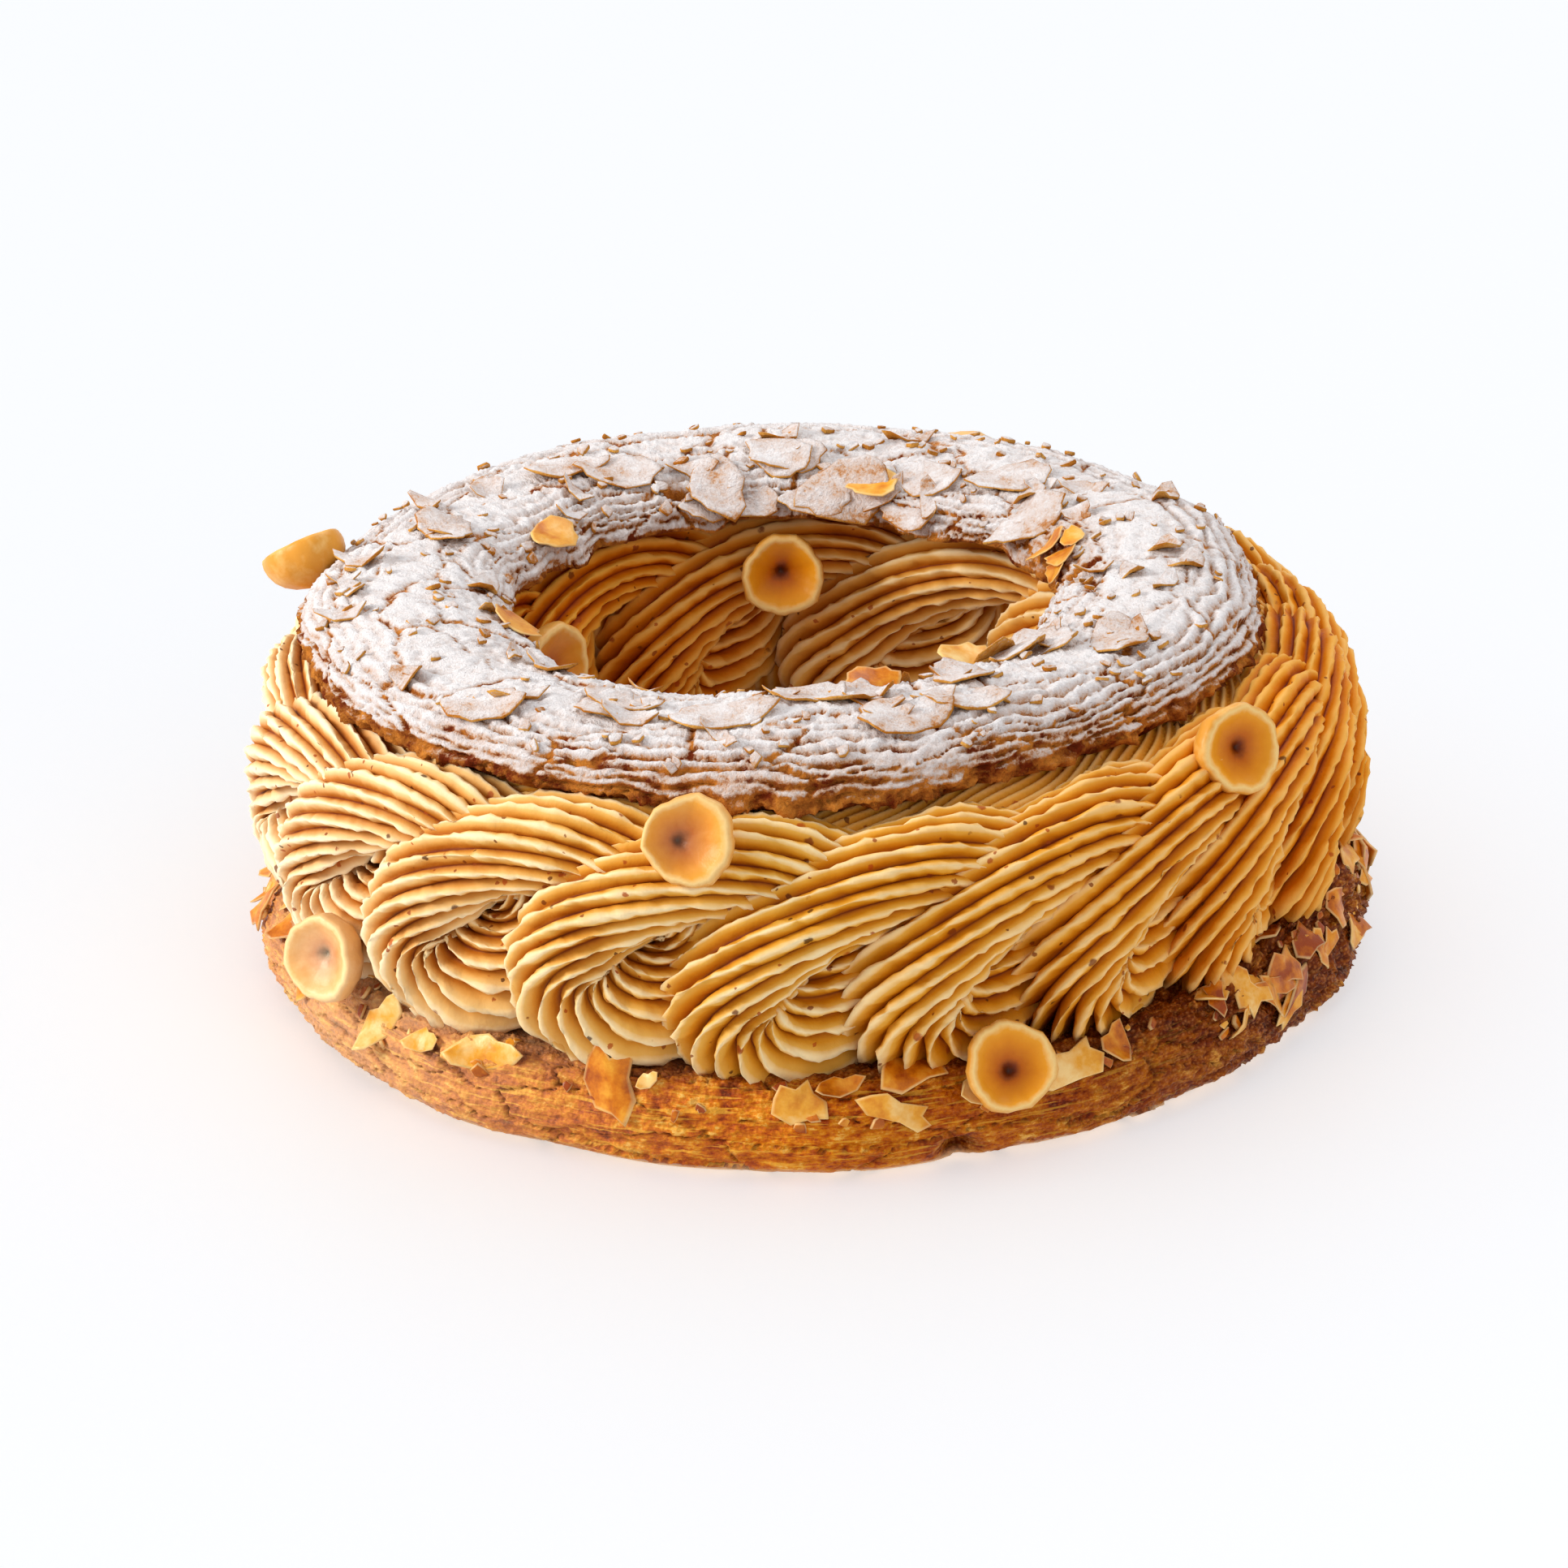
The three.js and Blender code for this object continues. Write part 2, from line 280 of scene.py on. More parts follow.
def set_stops(ramp, *stops):
    """Gives a colour ramp its stops, each a place from 0 to 1 and a colour."""
    while len(ramp.color_ramp.elements) < len(stops):
        ramp.color_ramp.elements.new(0.5)
    for element, (at, colour) in zip(ramp.color_ramp.elements, stops):
        element.position, element.color = at, linear(colour)


def praline_cream():
    """Praline cream: butter and custard beaten with ground roast nuts, then piped. It is satin,
    with specks of nut skin. A painted highlight makes it pale on the sharp crests, and painted
    shade a deep orange brown in the grooves."""
    material, add, shader = new_material("praline_cream", 0.5, 1.46, 0.1)
    place, crest, deep, pale = read_surface(add, "crest", "deep", "pale")
    patches = add(NOISE, [place, None, 1 / (9 * MM), 4, 0.6])
    depth = add(MATH, [patches, 0.36, -0.18], "MULTIPLY_ADD")
    depth = add(MATH, [crest, depth], "ADD")
    # painted shade darkens the grooves and a painted highlight pales the crests
    shades = add(RAMP, [depth])
    set_stops(
        shades, (0.0, "#7C3000"), (0.2, "#B4660A"), (0.55, "#D28C16"), (0.82, "#E2AA44"),
        (1.0, "#F6DDAA"),
    )
    # nut skin is ground to 0.3 to 0.6 mm, with a speck to every few millimetres
    jitter = add(NOISE, [place, None, 1 / (0.8 * MM), 2, 0.6]).outputs["Color"]
    jitter = add(VECTOR_MATH, {"Vector": jitter, "Scale": 0.7 * MM}, "SCALE")
    jitter = add(VECTOR_MATH, [place, jitter], "ADD")
    # in the ring's hollow and on its right, out of the light, light passes from crest to crest and
    # deepens the colour, painted here as painted shade; at the left and at the hollow's right back
    # the crests are painted paler, a painted highlight where the light falls strongest
    painted_shade_cream = add(RAMP, [depth])
    set_stops(painted_shade_cream, (0.0, "#701400"), (0.2, "#B04E00"), (0.6, "#DA7C02"), (1.0, "#F0AE3E"))
    # the painted highlight lies on the crests alone
    crests = add(MATH, [depth, 2], "POWER")
    pale = add(MATH, [pale, crests], "MULTIPLY")
    layers = [(deep, painted_shade_cream), (pale, linear("#FEEECE"))]
    for spacing, speck, share in ((1.6, 0.3, 0.92), (3.0, 0.4, 0.8), (5.2, 0.6, 0.72)):
        specks = add(CELLS, [jitter, None, 1 / (spacing * MM)])
        edge = speck / spacing
        inside = add(MAP_RANGE, [specks, edge, edge + 0.05, 0.85, 0.0])
        chosen = add("ShaderNodeSeparateColor", [specks.outputs["Color"]])
        rare = add(MATH, [chosen.outputs[0], share], "GREATER_THAN")
        shown = add(MATH, [inside, rare], "MULTIPLY")
        skin = {0: chosen.outputs[1], 6: linear("#B85216"), 7: linear("#4A240E")}
        skin = add(MIX, skin, data_type="RGBA").outputs[2]
        layers.append((shown, skin))
    # whipped air leaves a fine unevenness, about 1 mm across
    air = add(NOISE, [place, None, 1 / (1.1 * MM), 3, 0.6])
    coat(add, shader, shades, layers, [(0.35, 0.35, air)])
    return material


def baked_choux():
    """Baked choux: egg-rich paste that browned and split in the oven. It is glossy honey gold in
    fibres along the ring, grainy near the cream, and pale where it met the tray. Painted shade
    darkens it near the cream, at its right, in a torn hole and in its grooves and cracks."""
    material, add, shader = new_material("baked_choux", 0.32, 1.45, 0.13)
    place, groove, tray, seared, raised = read_surface(add, "groove", "tray", "seared", "raised")
    flow = add("ShaderNodeAttribute", attribute_name="flow").outputs["Vector"]
    # fibres 0.6 mm wide and 2.2 mm long
    fine = (1 / (2.2 * MM), 1 / (2.2 * MM), 1 / (0.6 * MM))
    stretched = add("ShaderNodeMapping", {"Vector": flow, "Scale": fine})
    fibres = add(NOISE, [stretched, None, 1, 6, 0.75])
    fibres = add(MAP_RANGE, [fibres, 0.37, 0.63, 0.06, 0.44])
    # single threads of pale crumb, 0.6 mm wide and 10 mm long
    fine = (1 / (10 * MM), 1 / (10 * MM), 1 / (0.6 * MM))
    stretched = add("ShaderNodeMapping", {"Vector": flow, "Scale": fine, "Location": (3, 5, 7)})
    threads = add(NOISE, [stretched, None, 1, 2, 0.5])
    threads = add(MAP_RANGE, [threads, 0.59, 0.63, 0.0, 0.8])
    patches = add(NOISE, [place, None, 1 / (5 * MM), 6, 0.75])
    patches = add(MAP_RANGE, [patches, 0.35, 0.65, -0.26, 0.3])
    shade = add(MATH, [raised, 0.5, fibres], "MULTIPLY_ADD")
    shade = add(MATH, [shade, patches], "ADD")
    gold, painted_shade_crust = add(RAMP, [shade]), add(RAMP, [shade])
    set_stops(
        gold, (0.05, "#641400"), (0.25, "#A63C00"), (0.5, "#D06A00"), (0.72, "#E48E0C"),
        (0.92, "#F8C462"),
    )
    # the darker colours of painted shade, under the cream, in the hole and at the right
    set_stops(painted_shade_crust, (0.1, "#200400"), (0.45, "#581600"), (0.72, "#883A02"), (0.95, "#CC842C"))
    # crumbs of crust about 0.7 mm across catch the light
    crumbs = add(CELLS, [place, None, 1 / (0.7 * MM)])
    bright = add(MAP_RANGE, [crumbs, 0.0, 0.5, 0.5, 0.0])
    crumbly = add(MATH, [seared, 0.75, 0.15], "MULTIPLY_ADD")
    bright = add(MATH, [bright, crumbly], "MULTIPLY")
    # painted shade darkens the grooves and the cracks
    dark = add(MATH, [groove, 0.8], "MULTIPLY")
    layers = [
        (threads, linear("#F4AE34")), (seared, painted_shade_crust), (tray, linear("#F2C896")),
        (dark, linear("#4E1C06")), (bright, linear("#E89A58")),
    ]
    coat(add, shader, gold, layers, [(0.5, 0.4, fibres), (0.5, 0.5, crumbs)])
    return material


def sugared(name, bare, below, reach, patchy=0.9):
    """Icing sugar sifted over something baked: a dull powder, white where it is thick and a warm
    cream where it is thin. It lies on what faces up and leaves steep edges and cracks brown."""
    material, add, shader = new_material(name, 0.85, 1.45, 0.15)
    labels = ("up", "groove", "unsugared", "raised", "rim")
    place, up, groove, unsugared, raised, rim = read_surface(add, *labels)
    drift = add(NOISE, [place, None, 1 / (5 * MM), 5, 0.65])
    # icing sugar is too fine to show, so it is drawn in clumps of about 0.6 mm
    grain = add(NOISE, [place, None, 1 / (0.6 * MM), 3, 0.75])
    browned = add(MAP_RANGE, [drift, 0.4, 0.6, 0.0, 1.0])
    # the flakes' rims keep little sugar: bare almond at the cut edge, and painted shade under
    # their edges
    edge = add(MAP_RANGE, [rim, 0.86, 1.0, 0.0, 1.0])
    cover = add(MATH, [up, 0.6, reach], "MULTIPLY_ADD")
    helped = [(drift, patchy), (grain, 1.3), (raised, 0.5)]
    hindered = [(groove, -1.3), (unsugared, -1.0), (edge, -1.1)]
    for part, weight in helped + hindered:
        cover = add(MATH, [part, weight, cover], "MULTIPLY_ADD")
    cover = add(MAP_RANGE, [cover, 1.1, 2.7, 0.0, 1.0])
    powder = add(RAMP, [cover])
    set_stops(powder, (0.08, "#BE8252"), (0.28, "#CEAA90"), (0.5, "#D8CAC6"), (0.85, "#EAE8EC"))
    share = add(MAP_RANGE, [cover, 0.08, 0.36, 0.0, 1.0])
    layers = [(browned, linear(below)), (share, powder)]
    coat(add, shader, linear(bare), layers, [(0.9, 0.6, grain), (0.5, 1.2, drift)])
    return material


def toasted_almond():
    """Flaked almond, sliced thin and toasted: waxy and a little see-through, from straw to deep
    orange, browner in its middle, with pale cut edges."""
    material, add, shader = new_material("toasted_almond", 0.34, 1.46, 0.35)
    place, rim, tone = read_surface(add, "rim", "tone")
    patches = add(NOISE, [place, None, 1 / (4 * MM), 4, 0.6])
    shade = add(MATH, [patches, 1.6, -0.8], "MULTIPLY_ADD")
    shade = add(MATH, [shade, tone], "ADD")
    flesh = add(RAMP, [shade])
    set_stops(flesh, (0.0, "#963E02"), (0.3, "#CC7408"), (0.6, "#E6A230"), (1.0, "#F4D08A"))
    edge = add(MAP_RANGE, [rim, 0.72, 1.0, 0.0, 0.7])
    coat(add, shader, flesh, [(edge, linear("#F6DC9C"))], [(0.4, 0.6, patches)])
    return material


def cut_hazelnut():
    """Roast hazelnut, split along its seam: oily and smooth, orange amber in the hollow, with a
    thin pale rim of dry flesh. Its pit is nearly black: the hollow's brown skin, darkened further
    with painted shade."""
    material, add, shader = new_material("cut_hazelnut", 0.36, 1.47, 0.25)
    place, across, pale = read_surface(add, "across", "pale")
    patches = add(NOISE, [place, None, 1 / (4 * MM), 4, 0.6])
    reach = add(MATH, [patches, 0.3, -0.15], "MULTIPLY_ADD")
    reach = add(MATH, [across, reach], "ADD")
    # towards the pit the colour darkens: the hollow's brown skin, and painted shade
    rings = add(RAMP, [reach])
    set_stops(
        rings, (0.0, "#2A0C02"), (0.12, "#702A00"), (0.27, "#BC6000"), (0.58, "#DE8A0C"),
        (0.76, "#E89C20"), (0.88, "#F2CC84"), (1.0, "#DC9838"),
    )
    lighter = add(MATH, [pale, patches], "MULTIPLY")
    coat(add, shader, rings, [(lighter, linear("#FAE8C4"))], [(0.4, 0.5, patches)])
    return material


# Cream ropes

NOZZLE_TEETH = 16
POINTS_PER_TOOTH = 8
ROPE_RADIUS = 8.7 * MM
ROPE_THINNING = 0.12  # thinner where the nozzle moves fast over a loop, fatter at its foot
TOOTH_DEPTH = 0.23  # of the rope's radius
LOOP_STEPS = 120
LOOP_HALF_HEIGHT = 11.3 * MM
LOOP_MIDDLE = 35.6 * MM
LOOP_TILT = 7.0 * MM  # how much nearer the ring's middle a loop is on one side than the other
# start is an azimuth in degrees
OUTER_WALL = dict(loops=19, radius=81.4 * MM, half_width=15.0 * MM, facing=1, start=0)
INNER_WALL = dict(loops=10, radius=54.5 * MM, half_width=15.5 * MM, facing=-1, start=10)
# how far each loop leans, in degrees, from the front loop on towards +X
OUTER_WALL["leans"] = [30, 34, 36, 36, 32, 26, 20, 26, 32, 24, 18, 28, 30, 22, 16, 24, 18, 20, 15]
INNER_WALL["leans"] = [24, 30, 20, 28, 18, 26, 32, 22, 30, 20]
# how far each loop's middle sits above or below the usual height, in millimetres
OUTER_WALL["rises"] = [-0.8, -0.5, 0.5, 1, 1, 0, -1.5, 0, 1, 0.5, -0.5, 0, 1, 0, -1, 0, 0, 0.5, 1]
INNER_WALL["rises"] = [0, 1, 0, -1, 0.5, 0, -0.5, 1, 0, -0.5]


def per_loop(values, travelled):
    """One value for each loop, eased from each loop's middle to the next one's."""
    values = np.asarray(values, float)
    index = np.floor(travelled - 0.5).astype(int)
    share = fade(travelled - 0.5 - index, 0, 1)
    return values[index % len(values)] * (1 - share) + values[(index + 1) % len(values)] * share


def rope_middle(wall, travelled):
    """Where the rope's middle lies after so many loops: it runs round each loop and moves on."""
    phase = math.pi / 2 - TAU * travelled
    up = LOOP_HALF_HEIGHT * np.sin(phase)
    lean = np.radians(per_loop(wall["leans"], travelled))
    across = wall["half_width"] * np.cos(phase) + up * np.tan(lean)
    azimuth = TAU * (travelled - 0.5) / wall["loops"] + across / wall["radius"]
    # the loops are not quite evenly spread round the ring
    azimuth = azimuth - math.radians(3.5) * (1 - np.cos(azimuth))
    depth = LOOP_TILT * (1 + np.cos(phase)) / 2
    return on_ring(
        math.radians(wall["start"]) + wall["facing"] * azimuth,
        wall["radius"] - wall["facing"] * depth,
        LOOP_MIDDLE + per_loop(wall["rises"], travelled) * MM + up,
    )


def rope_path(name, wall, first, last):
    """The rope's middle line from one count of loops to another, with the direction of the
    nozzle's first tooth, and how far the rope may reach towards the inside of each bend."""
    travelled = np.linspace(first, last, round((last - first) * LOOP_STEPS) + 1)
    step = 2e-3
    middle = rope_middle(wall, travelled)
    before, after = rope_middle(wall, travelled - step), rope_middle(wall, travelled + step)
    along = unit(after - before)
    bend = after + before - 2 * middle
    bend -= along * dot(bend, along)
    length = np.linalg.norm(bend, axis=-1)
    room = 0.92 * np.linalg.norm(after - middle, axis=-1) ** 2 / length
    radial = unit(middle * [1, 1, 0]) * wall["facing"]
    outwards = unit(radial - along * dot(radial, along))
    leftwards = np.cross(outwards, along)
    right = np.cross([0, 0, 1], radial)
    heading = np.arctan2(along[:, 2], dot(along, right)[:, 0])[:, None]
    tooth = -outwards * np.cos(heading) - leftwards * np.sin(heading)
    thickness = 1 - ROPE_THINNING * np.sin(math.pi / 2 - TAU * travelled)
    azimuth = np.arctan2(middle[:, 0], -middle[:, 1])
    # painted shade deepens the colour of the hollow, apart from its right back, and of the outside
    # at its right, away from the window; a painted highlight pales the outside at its left and, a
    # little, the hollow's right back
    if wall is INNER_WALL:
        deep, pale = 1 - swelling(azimuth, 140, 48), 0.2 * swelling(azimuth, 140, 38)
    else:
        deep, pale = 0.85 * swelling(azimuth, 75, 55), 0.85 * swelling(azimuth, 285, 38)
    count = len(travelled)
    edges = np.stack([np.arange(count - 1), np.arange(1, count)], -1)
    return mesh_piece(
        name, middle, edges=edges, middle=middle, tooth=tooth, inwards=unit(bend), room=room,
        thickness=thickness, travelled=travelled, deep=deep, pale=pale,
    )


def rope_tree():
    """Draws a star-shaped rope along a path of points."""
    add, given, result = new_tree(
        "piped rope", Material=["Material"], Int=["Teeth", "Around"],
        Float=["Radius", "Tooth depth", "Tooth skew", "Finger length", "Ripple size",
               "Ripple height", "Tear size", "Tear height", "Sway size", "Sway height",
               "Swell height"],
    )
    tooth, middle, inwards = (
        add(READ, [label], data_type="FLOAT_VECTOR") for label in ("tooth", "middle", "inwards")
    )
    thickness, room, travelled, crest_there, number_there = (
        add(READ, [label]) for label in ("thickness", "room", "travelled", "crest", "number")
    )
    line = add("GeometryNodeMeshToCurve", [given["Geometry"]])
    line = add("GeometryNodeSetCurveNormal", [line, None, tooth], mode="FREE")

    circle = add("GeometryNodeCurvePrimitiveCircle", {"Resolution": given["Around"], "Radius": 1})
    turn = add("GeometryNodeSplineParameter")
    teeth = add(MATH, [turn.outputs["Factor"], given["Teeth"]], "MULTIPLY")
    saw = add(MATH, [teeth], "FRACT")
    saw = add(MATH, [saw, given["Tooth skew"]], "POWER")
    saw = add(MATH, [saw, 2, -1], "MULTIPLY_ADD")
    valley = add(MATH, [saw], "ABSOLUTE")
    valley = add(MATH, [valley, 1.4], "POWER")
    crest = add(MATH, [1, valley], "SUBTRACT")
    cut = add(MATH, [valley, given["Tooth depth"]], "MULTIPLY")
    reach = add(MATH, [1, cut], "SUBTRACT")
    reach = add(MATH, [reach, given["Radius"]], "MULTIPLY")
    place = add("GeometryNodeInputPosition")
    star = add(VECTOR_MATH, {"Vector": place, "Scale": reach}, "SCALE")
    profile = add(STORE, [circle, None, "crest", crest])
    number = add(MATH, [teeth], "FLOOR")
    profile = add(STORE, [profile, None, "number", number])
    profile = add(MOVE, [profile, None, star])
    rope = add("GeometryNodeCurveToMesh", [line, profile, thickness, True])

    # on the inside of a bend the rope is held back, so that it doesn't fold through itself
    offset = add(VECTOR_MATH, [place, middle], "SUBTRACT")
    inward = add(VECTOR_MATH, [offset, inwards], "DOT_PRODUCT").outputs["Value"]
    softness = add(MATH, [room, 0.5], "MULTIPLY")
    held = add(MATH, [inward, room, softness], "SMOOTH_MIN")
    back = add(MATH, [held, inward], "SUBTRACT")
    back = add(VECTOR_MATH, {"Vector": inwards, "Scale": back}, "SCALE")
    rope = add(MOVE, [rope, None, None, back])

    # at a loop's foot the crests run out into pointed fingers, away from the bend
    foot = add(MAP_RANGE, [thickness, 1.02, 1 + ROPE_THINNING, 0.0, 1.0])
    outer = add(MATH, [inward, given["Radius"]], "DIVIDE")
    outer = add(MAP_RANGE, [outer, -0.2, -0.9, 0.0, 1.0])
    finger = given["Finger length"]
    for part in (foot, outer, crest_there):
        finger = add(MATH, [finger, part], "MULTIPLY")
    finger = add(MATH, [0, finger], "SUBTRACT")
    finger = add(VECTOR_MATH, {"Vector": inwards, "Scale": finger}, "SCALE")
    rope = add(MOVE, [rope, None, None, finger])

    # each tooth's strand swells along its way, and ripples, tears and sways with the rope
    normal = add("GeometryNodeInputNormal")
    weight = add(MATH, [crest_there, 0.8, 0.2], "MULTIPLY_ADD")
    strand = add(JOIN, [travelled, number_there, 0.0])
    swell = add(NOISE, [strand, None, 7.3, 2, 0.6])
    swell = add(MATH, [swell, 0.5], "SUBTRACT")
    swell = add(MATH, [swell, given["Swell height"]], "MULTIPLY")
    total = add(MATH, [swell, crest_there], "MULTIPLY")
    for kind in ("Ripple", "Tear", "Sway"):
        scale = add(MATH, [1, given[kind + " size"]], "DIVIDE")
        noise = add(NOISE, [place, None, scale, 2, 0.5])
        centred = add(MATH, [noise, 0.5], "SUBTRACT")
        lift = add(MATH, [centred, given[kind + " height"]], "MULTIPLY")
        if kind != "Sway":
            lift = add(MATH, [lift, weight], "MULTIPLY")
        total = add(MATH, [total, lift], "ADD")
    move = add(VECTOR_MATH, {"Vector": normal, "Scale": total}, "SCALE")
    rope = add(MOVE, [rope, None, None, move])
    return end_tree(add, rope, given["Material"], result)


def make_ropes(material):
    tree = rope_tree()
    # each piece starts and ends deep under the next loop
    runs = [(OUTER_WALL, 0, 5), (OUTER_WALL, 5, 10), (OUTER_WALL, 10, 15), (OUTER_WALL, 15, 19)]
    runs += [(INNER_WALL, 0, 5), (INNER_WALL, 5, 10)]
    hidden = 0.25  # of a loop
    for number, (wall, first, last) in enumerate(runs, 1):
        side = "outer" if wall is OUTER_WALL else "inner"
        path = rope_path(f"cream_{side}_{number}", wall, first + hidden, last + hidden)
        grow(
            path, tree, teeth=NOZZLE_TEETH, around=POINTS_PER_TOOTH * NOZZLE_TEETH,
            radius=ROPE_RADIUS, tooth_depth=TOOTH_DEPTH, tooth_skew=0.72, finger_length=3.4 * MM,
            ripple_size=3 * MM, ripple_height=2.1 * MM, tear_size=1.2 * MM, tear_height=1.0 * MM,
            sway_size=12 * MM, sway_height=1.6 * MM, swell_height=1.8 * MM, material=material,
        )
        finish_piece(path, "praline_cream", "cream")


def make_core(material):
    """The cream behind the loops. Between them and the lid it slopes up in slanting ridges."""
    rows, on_slope = 900, 26
    azimuth = all_round(rows)[:, None]
    slope = np.linspace(0, 1, on_slope)
    radius = np.array([58, 76, 79, *(78 - 11 * slope), 58]) * MM
    height = np.array([16, 16, 40, *(49 + 5 * slope**0.6), 53]) * MM
    # ridges 3.6 mm apart that slant as the loops' upper strokes do
    slant, spacing = 2.2, 3.6 * MM
    strand = (azimuth * 75 * MM + radius * slant) / spacing
    strand = strand + waves(azimuth, (0.5, 7, 0), (0.3, 19, 1))
    crest = 1 - np.abs(2 * np.mod(strand, 1) - 1) ** 1.9
    ridged = (height > 48 * MM) * (radius > 66 * MM)
    points = on_ring(azimuth, radius + 0 * azimuth, height + ridged * (crest - 1) * 1.5 * MM)
    # the core lies in the lid's shadow: its crests are painted paler, as painted light, and its
    # colour is deepened with painted shade
    core = mesh_piece(
        "cream_core", points, grid_faces(rows, len(radius)), crest=0.4 + 0.6 * crest,
        deep=np.full(crest.size, 0.6),
    )
    core.data.materials.append(material)
    finish_piece(core, "praline_cream", "cream")


# Crusts

BASE_OUTER = 89.5 * MM
BASE_INNER = 43 * MM
LID_CENTRE = (-3.5 * MM, 1.5 * MM)
LID_OUTER = 76.5 * MM
LID_INNER = 43.5 * MM
LID_BOTTOM = 53.5 * MM
LID_RISE = 10.3 * MM
LID_FALL = 1.2 * MM


def base_skin(azimuth, share):
    """Points on the bottom crust, from its foot inside the hole out, up its side and back in."""
    outer = BASE_OUTER - 1.5 * MM * swelling(azimuth, 275, 40)
    outer = outer + waves(azimuth, (0.5 * MM, 4, 1.1), (0.4 * MM, 9, 2.0), (0.35 * MM, 17, 0.4))
    inner = BASE_INNER + waves(azimuth, (0.6 * MM, 3, 0.2), (0.5 * MM, 8, 1.7))
    # where along the section each corner comes, how far outside the outer or inner radius it is,
    # in mm, its height in mm, and its share of the torn part's rise
    corners = np.array([
        (0.00, 0, 5, 0, 0), (0.08, 1, -5, 0, 0), (0.18, 1, -1.2, 2.6, 0), (0.32, 1, 0, 7, 0),
        (0.46, 1, -1, 11.5, 0.6), (0.60, 1, -3.6, 15.5, 1), (0.73, 1, -16, 15.5, 0),
        (0.81, 0, 3.5, 15.5, 0), (0.88, 0, 0.4, 10, 0), (0.94, 0, 0, 5, 0), (1.00, 0, 5, 0, 0),
    ]).T
    share, azimuth = np.broadcast_arrays(share, azimuth)
    # each corner is rounded by a mean of places a little before and after it
    places = [np.mod(share + shift, 1) for shift in (-0.025, -0.01, 0.01, 0.025)]
    side, out, height, torn = (
        sum(np.interp(place, corners[0], row) for place in places) / len(places)
        for row in corners[1:]
    )
    radius = side * outer + (1 - side) * inner + out * MM
    height = np.maximum(height, 0) * MM + torn * 4.5 * MM * swelling(azimuth, 74, 17)
    return on_ring(azimuth, radius, height)


def lid_skin(azimuth, along):
    """Points on the lid's dome, from 0 at its outer edge to pi at the hole."""
    middle = (LID_OUTER + LID_INNER) / 2 + waves(azimuth, (0.5 * MM, 3, 2.2), (0.4 * MM, 7, 0.5))
    width = (LID_OUTER - LID_INNER) / 2 + waves(azimuth, (0.6 * MM, 5, 1.4), (0.4 * MM, 11, 0.3))
    rise = LID_RISE + waves(azimuth, (0.5 * MM, 4, 0.8), (0.4 * MM, 10, 1.9))
    inside = (1 - np.cos(along)) / 2
    crown = np.maximum(np.sin(along), 0)
    lift = 1.2 * MM + (rise - 1.2 * MM) * crown**0.75 - LID_FALL * crown * inside
    # the edges are broken off raggedly, in steps of 4 to 6 mm
    edge = (1 - crown) ** 4
    outer_lift, outer_width = 0.9 * ragged(azimuth, 130, 3), 0.5 * ragged(azimuth, 110, 5)
    inner_lift = -1.6 * fade(ragged(azimuth, 50, 4), 0, 1)
    inner_width = 1.5 * ragged(azimuth, 60, 6)
    lift = lift + edge * np.where(inside < 0.5, outer_lift, inner_lift) * MM
    width = width + edge * np.where(inside < 0.5, outer_width, inner_width) * MM
    return on_ring(azimuth, middle + width * np.cos(along), LID_BOTTOM + lift, LID_CENTRE)


def on_skin(skin, azimuth, share):
    """Points on a crust, the directions out of it there, and the directions round the ring."""
    step = 0.01
    around = unit(skin(azimuth + step, share) - skin(azimuth - step, share))
    across = unit(skin(azimuth, share + step) - skin(azimuth, share - step))
    return skin(azimuth, share), unit(np.cross(around, across)), around


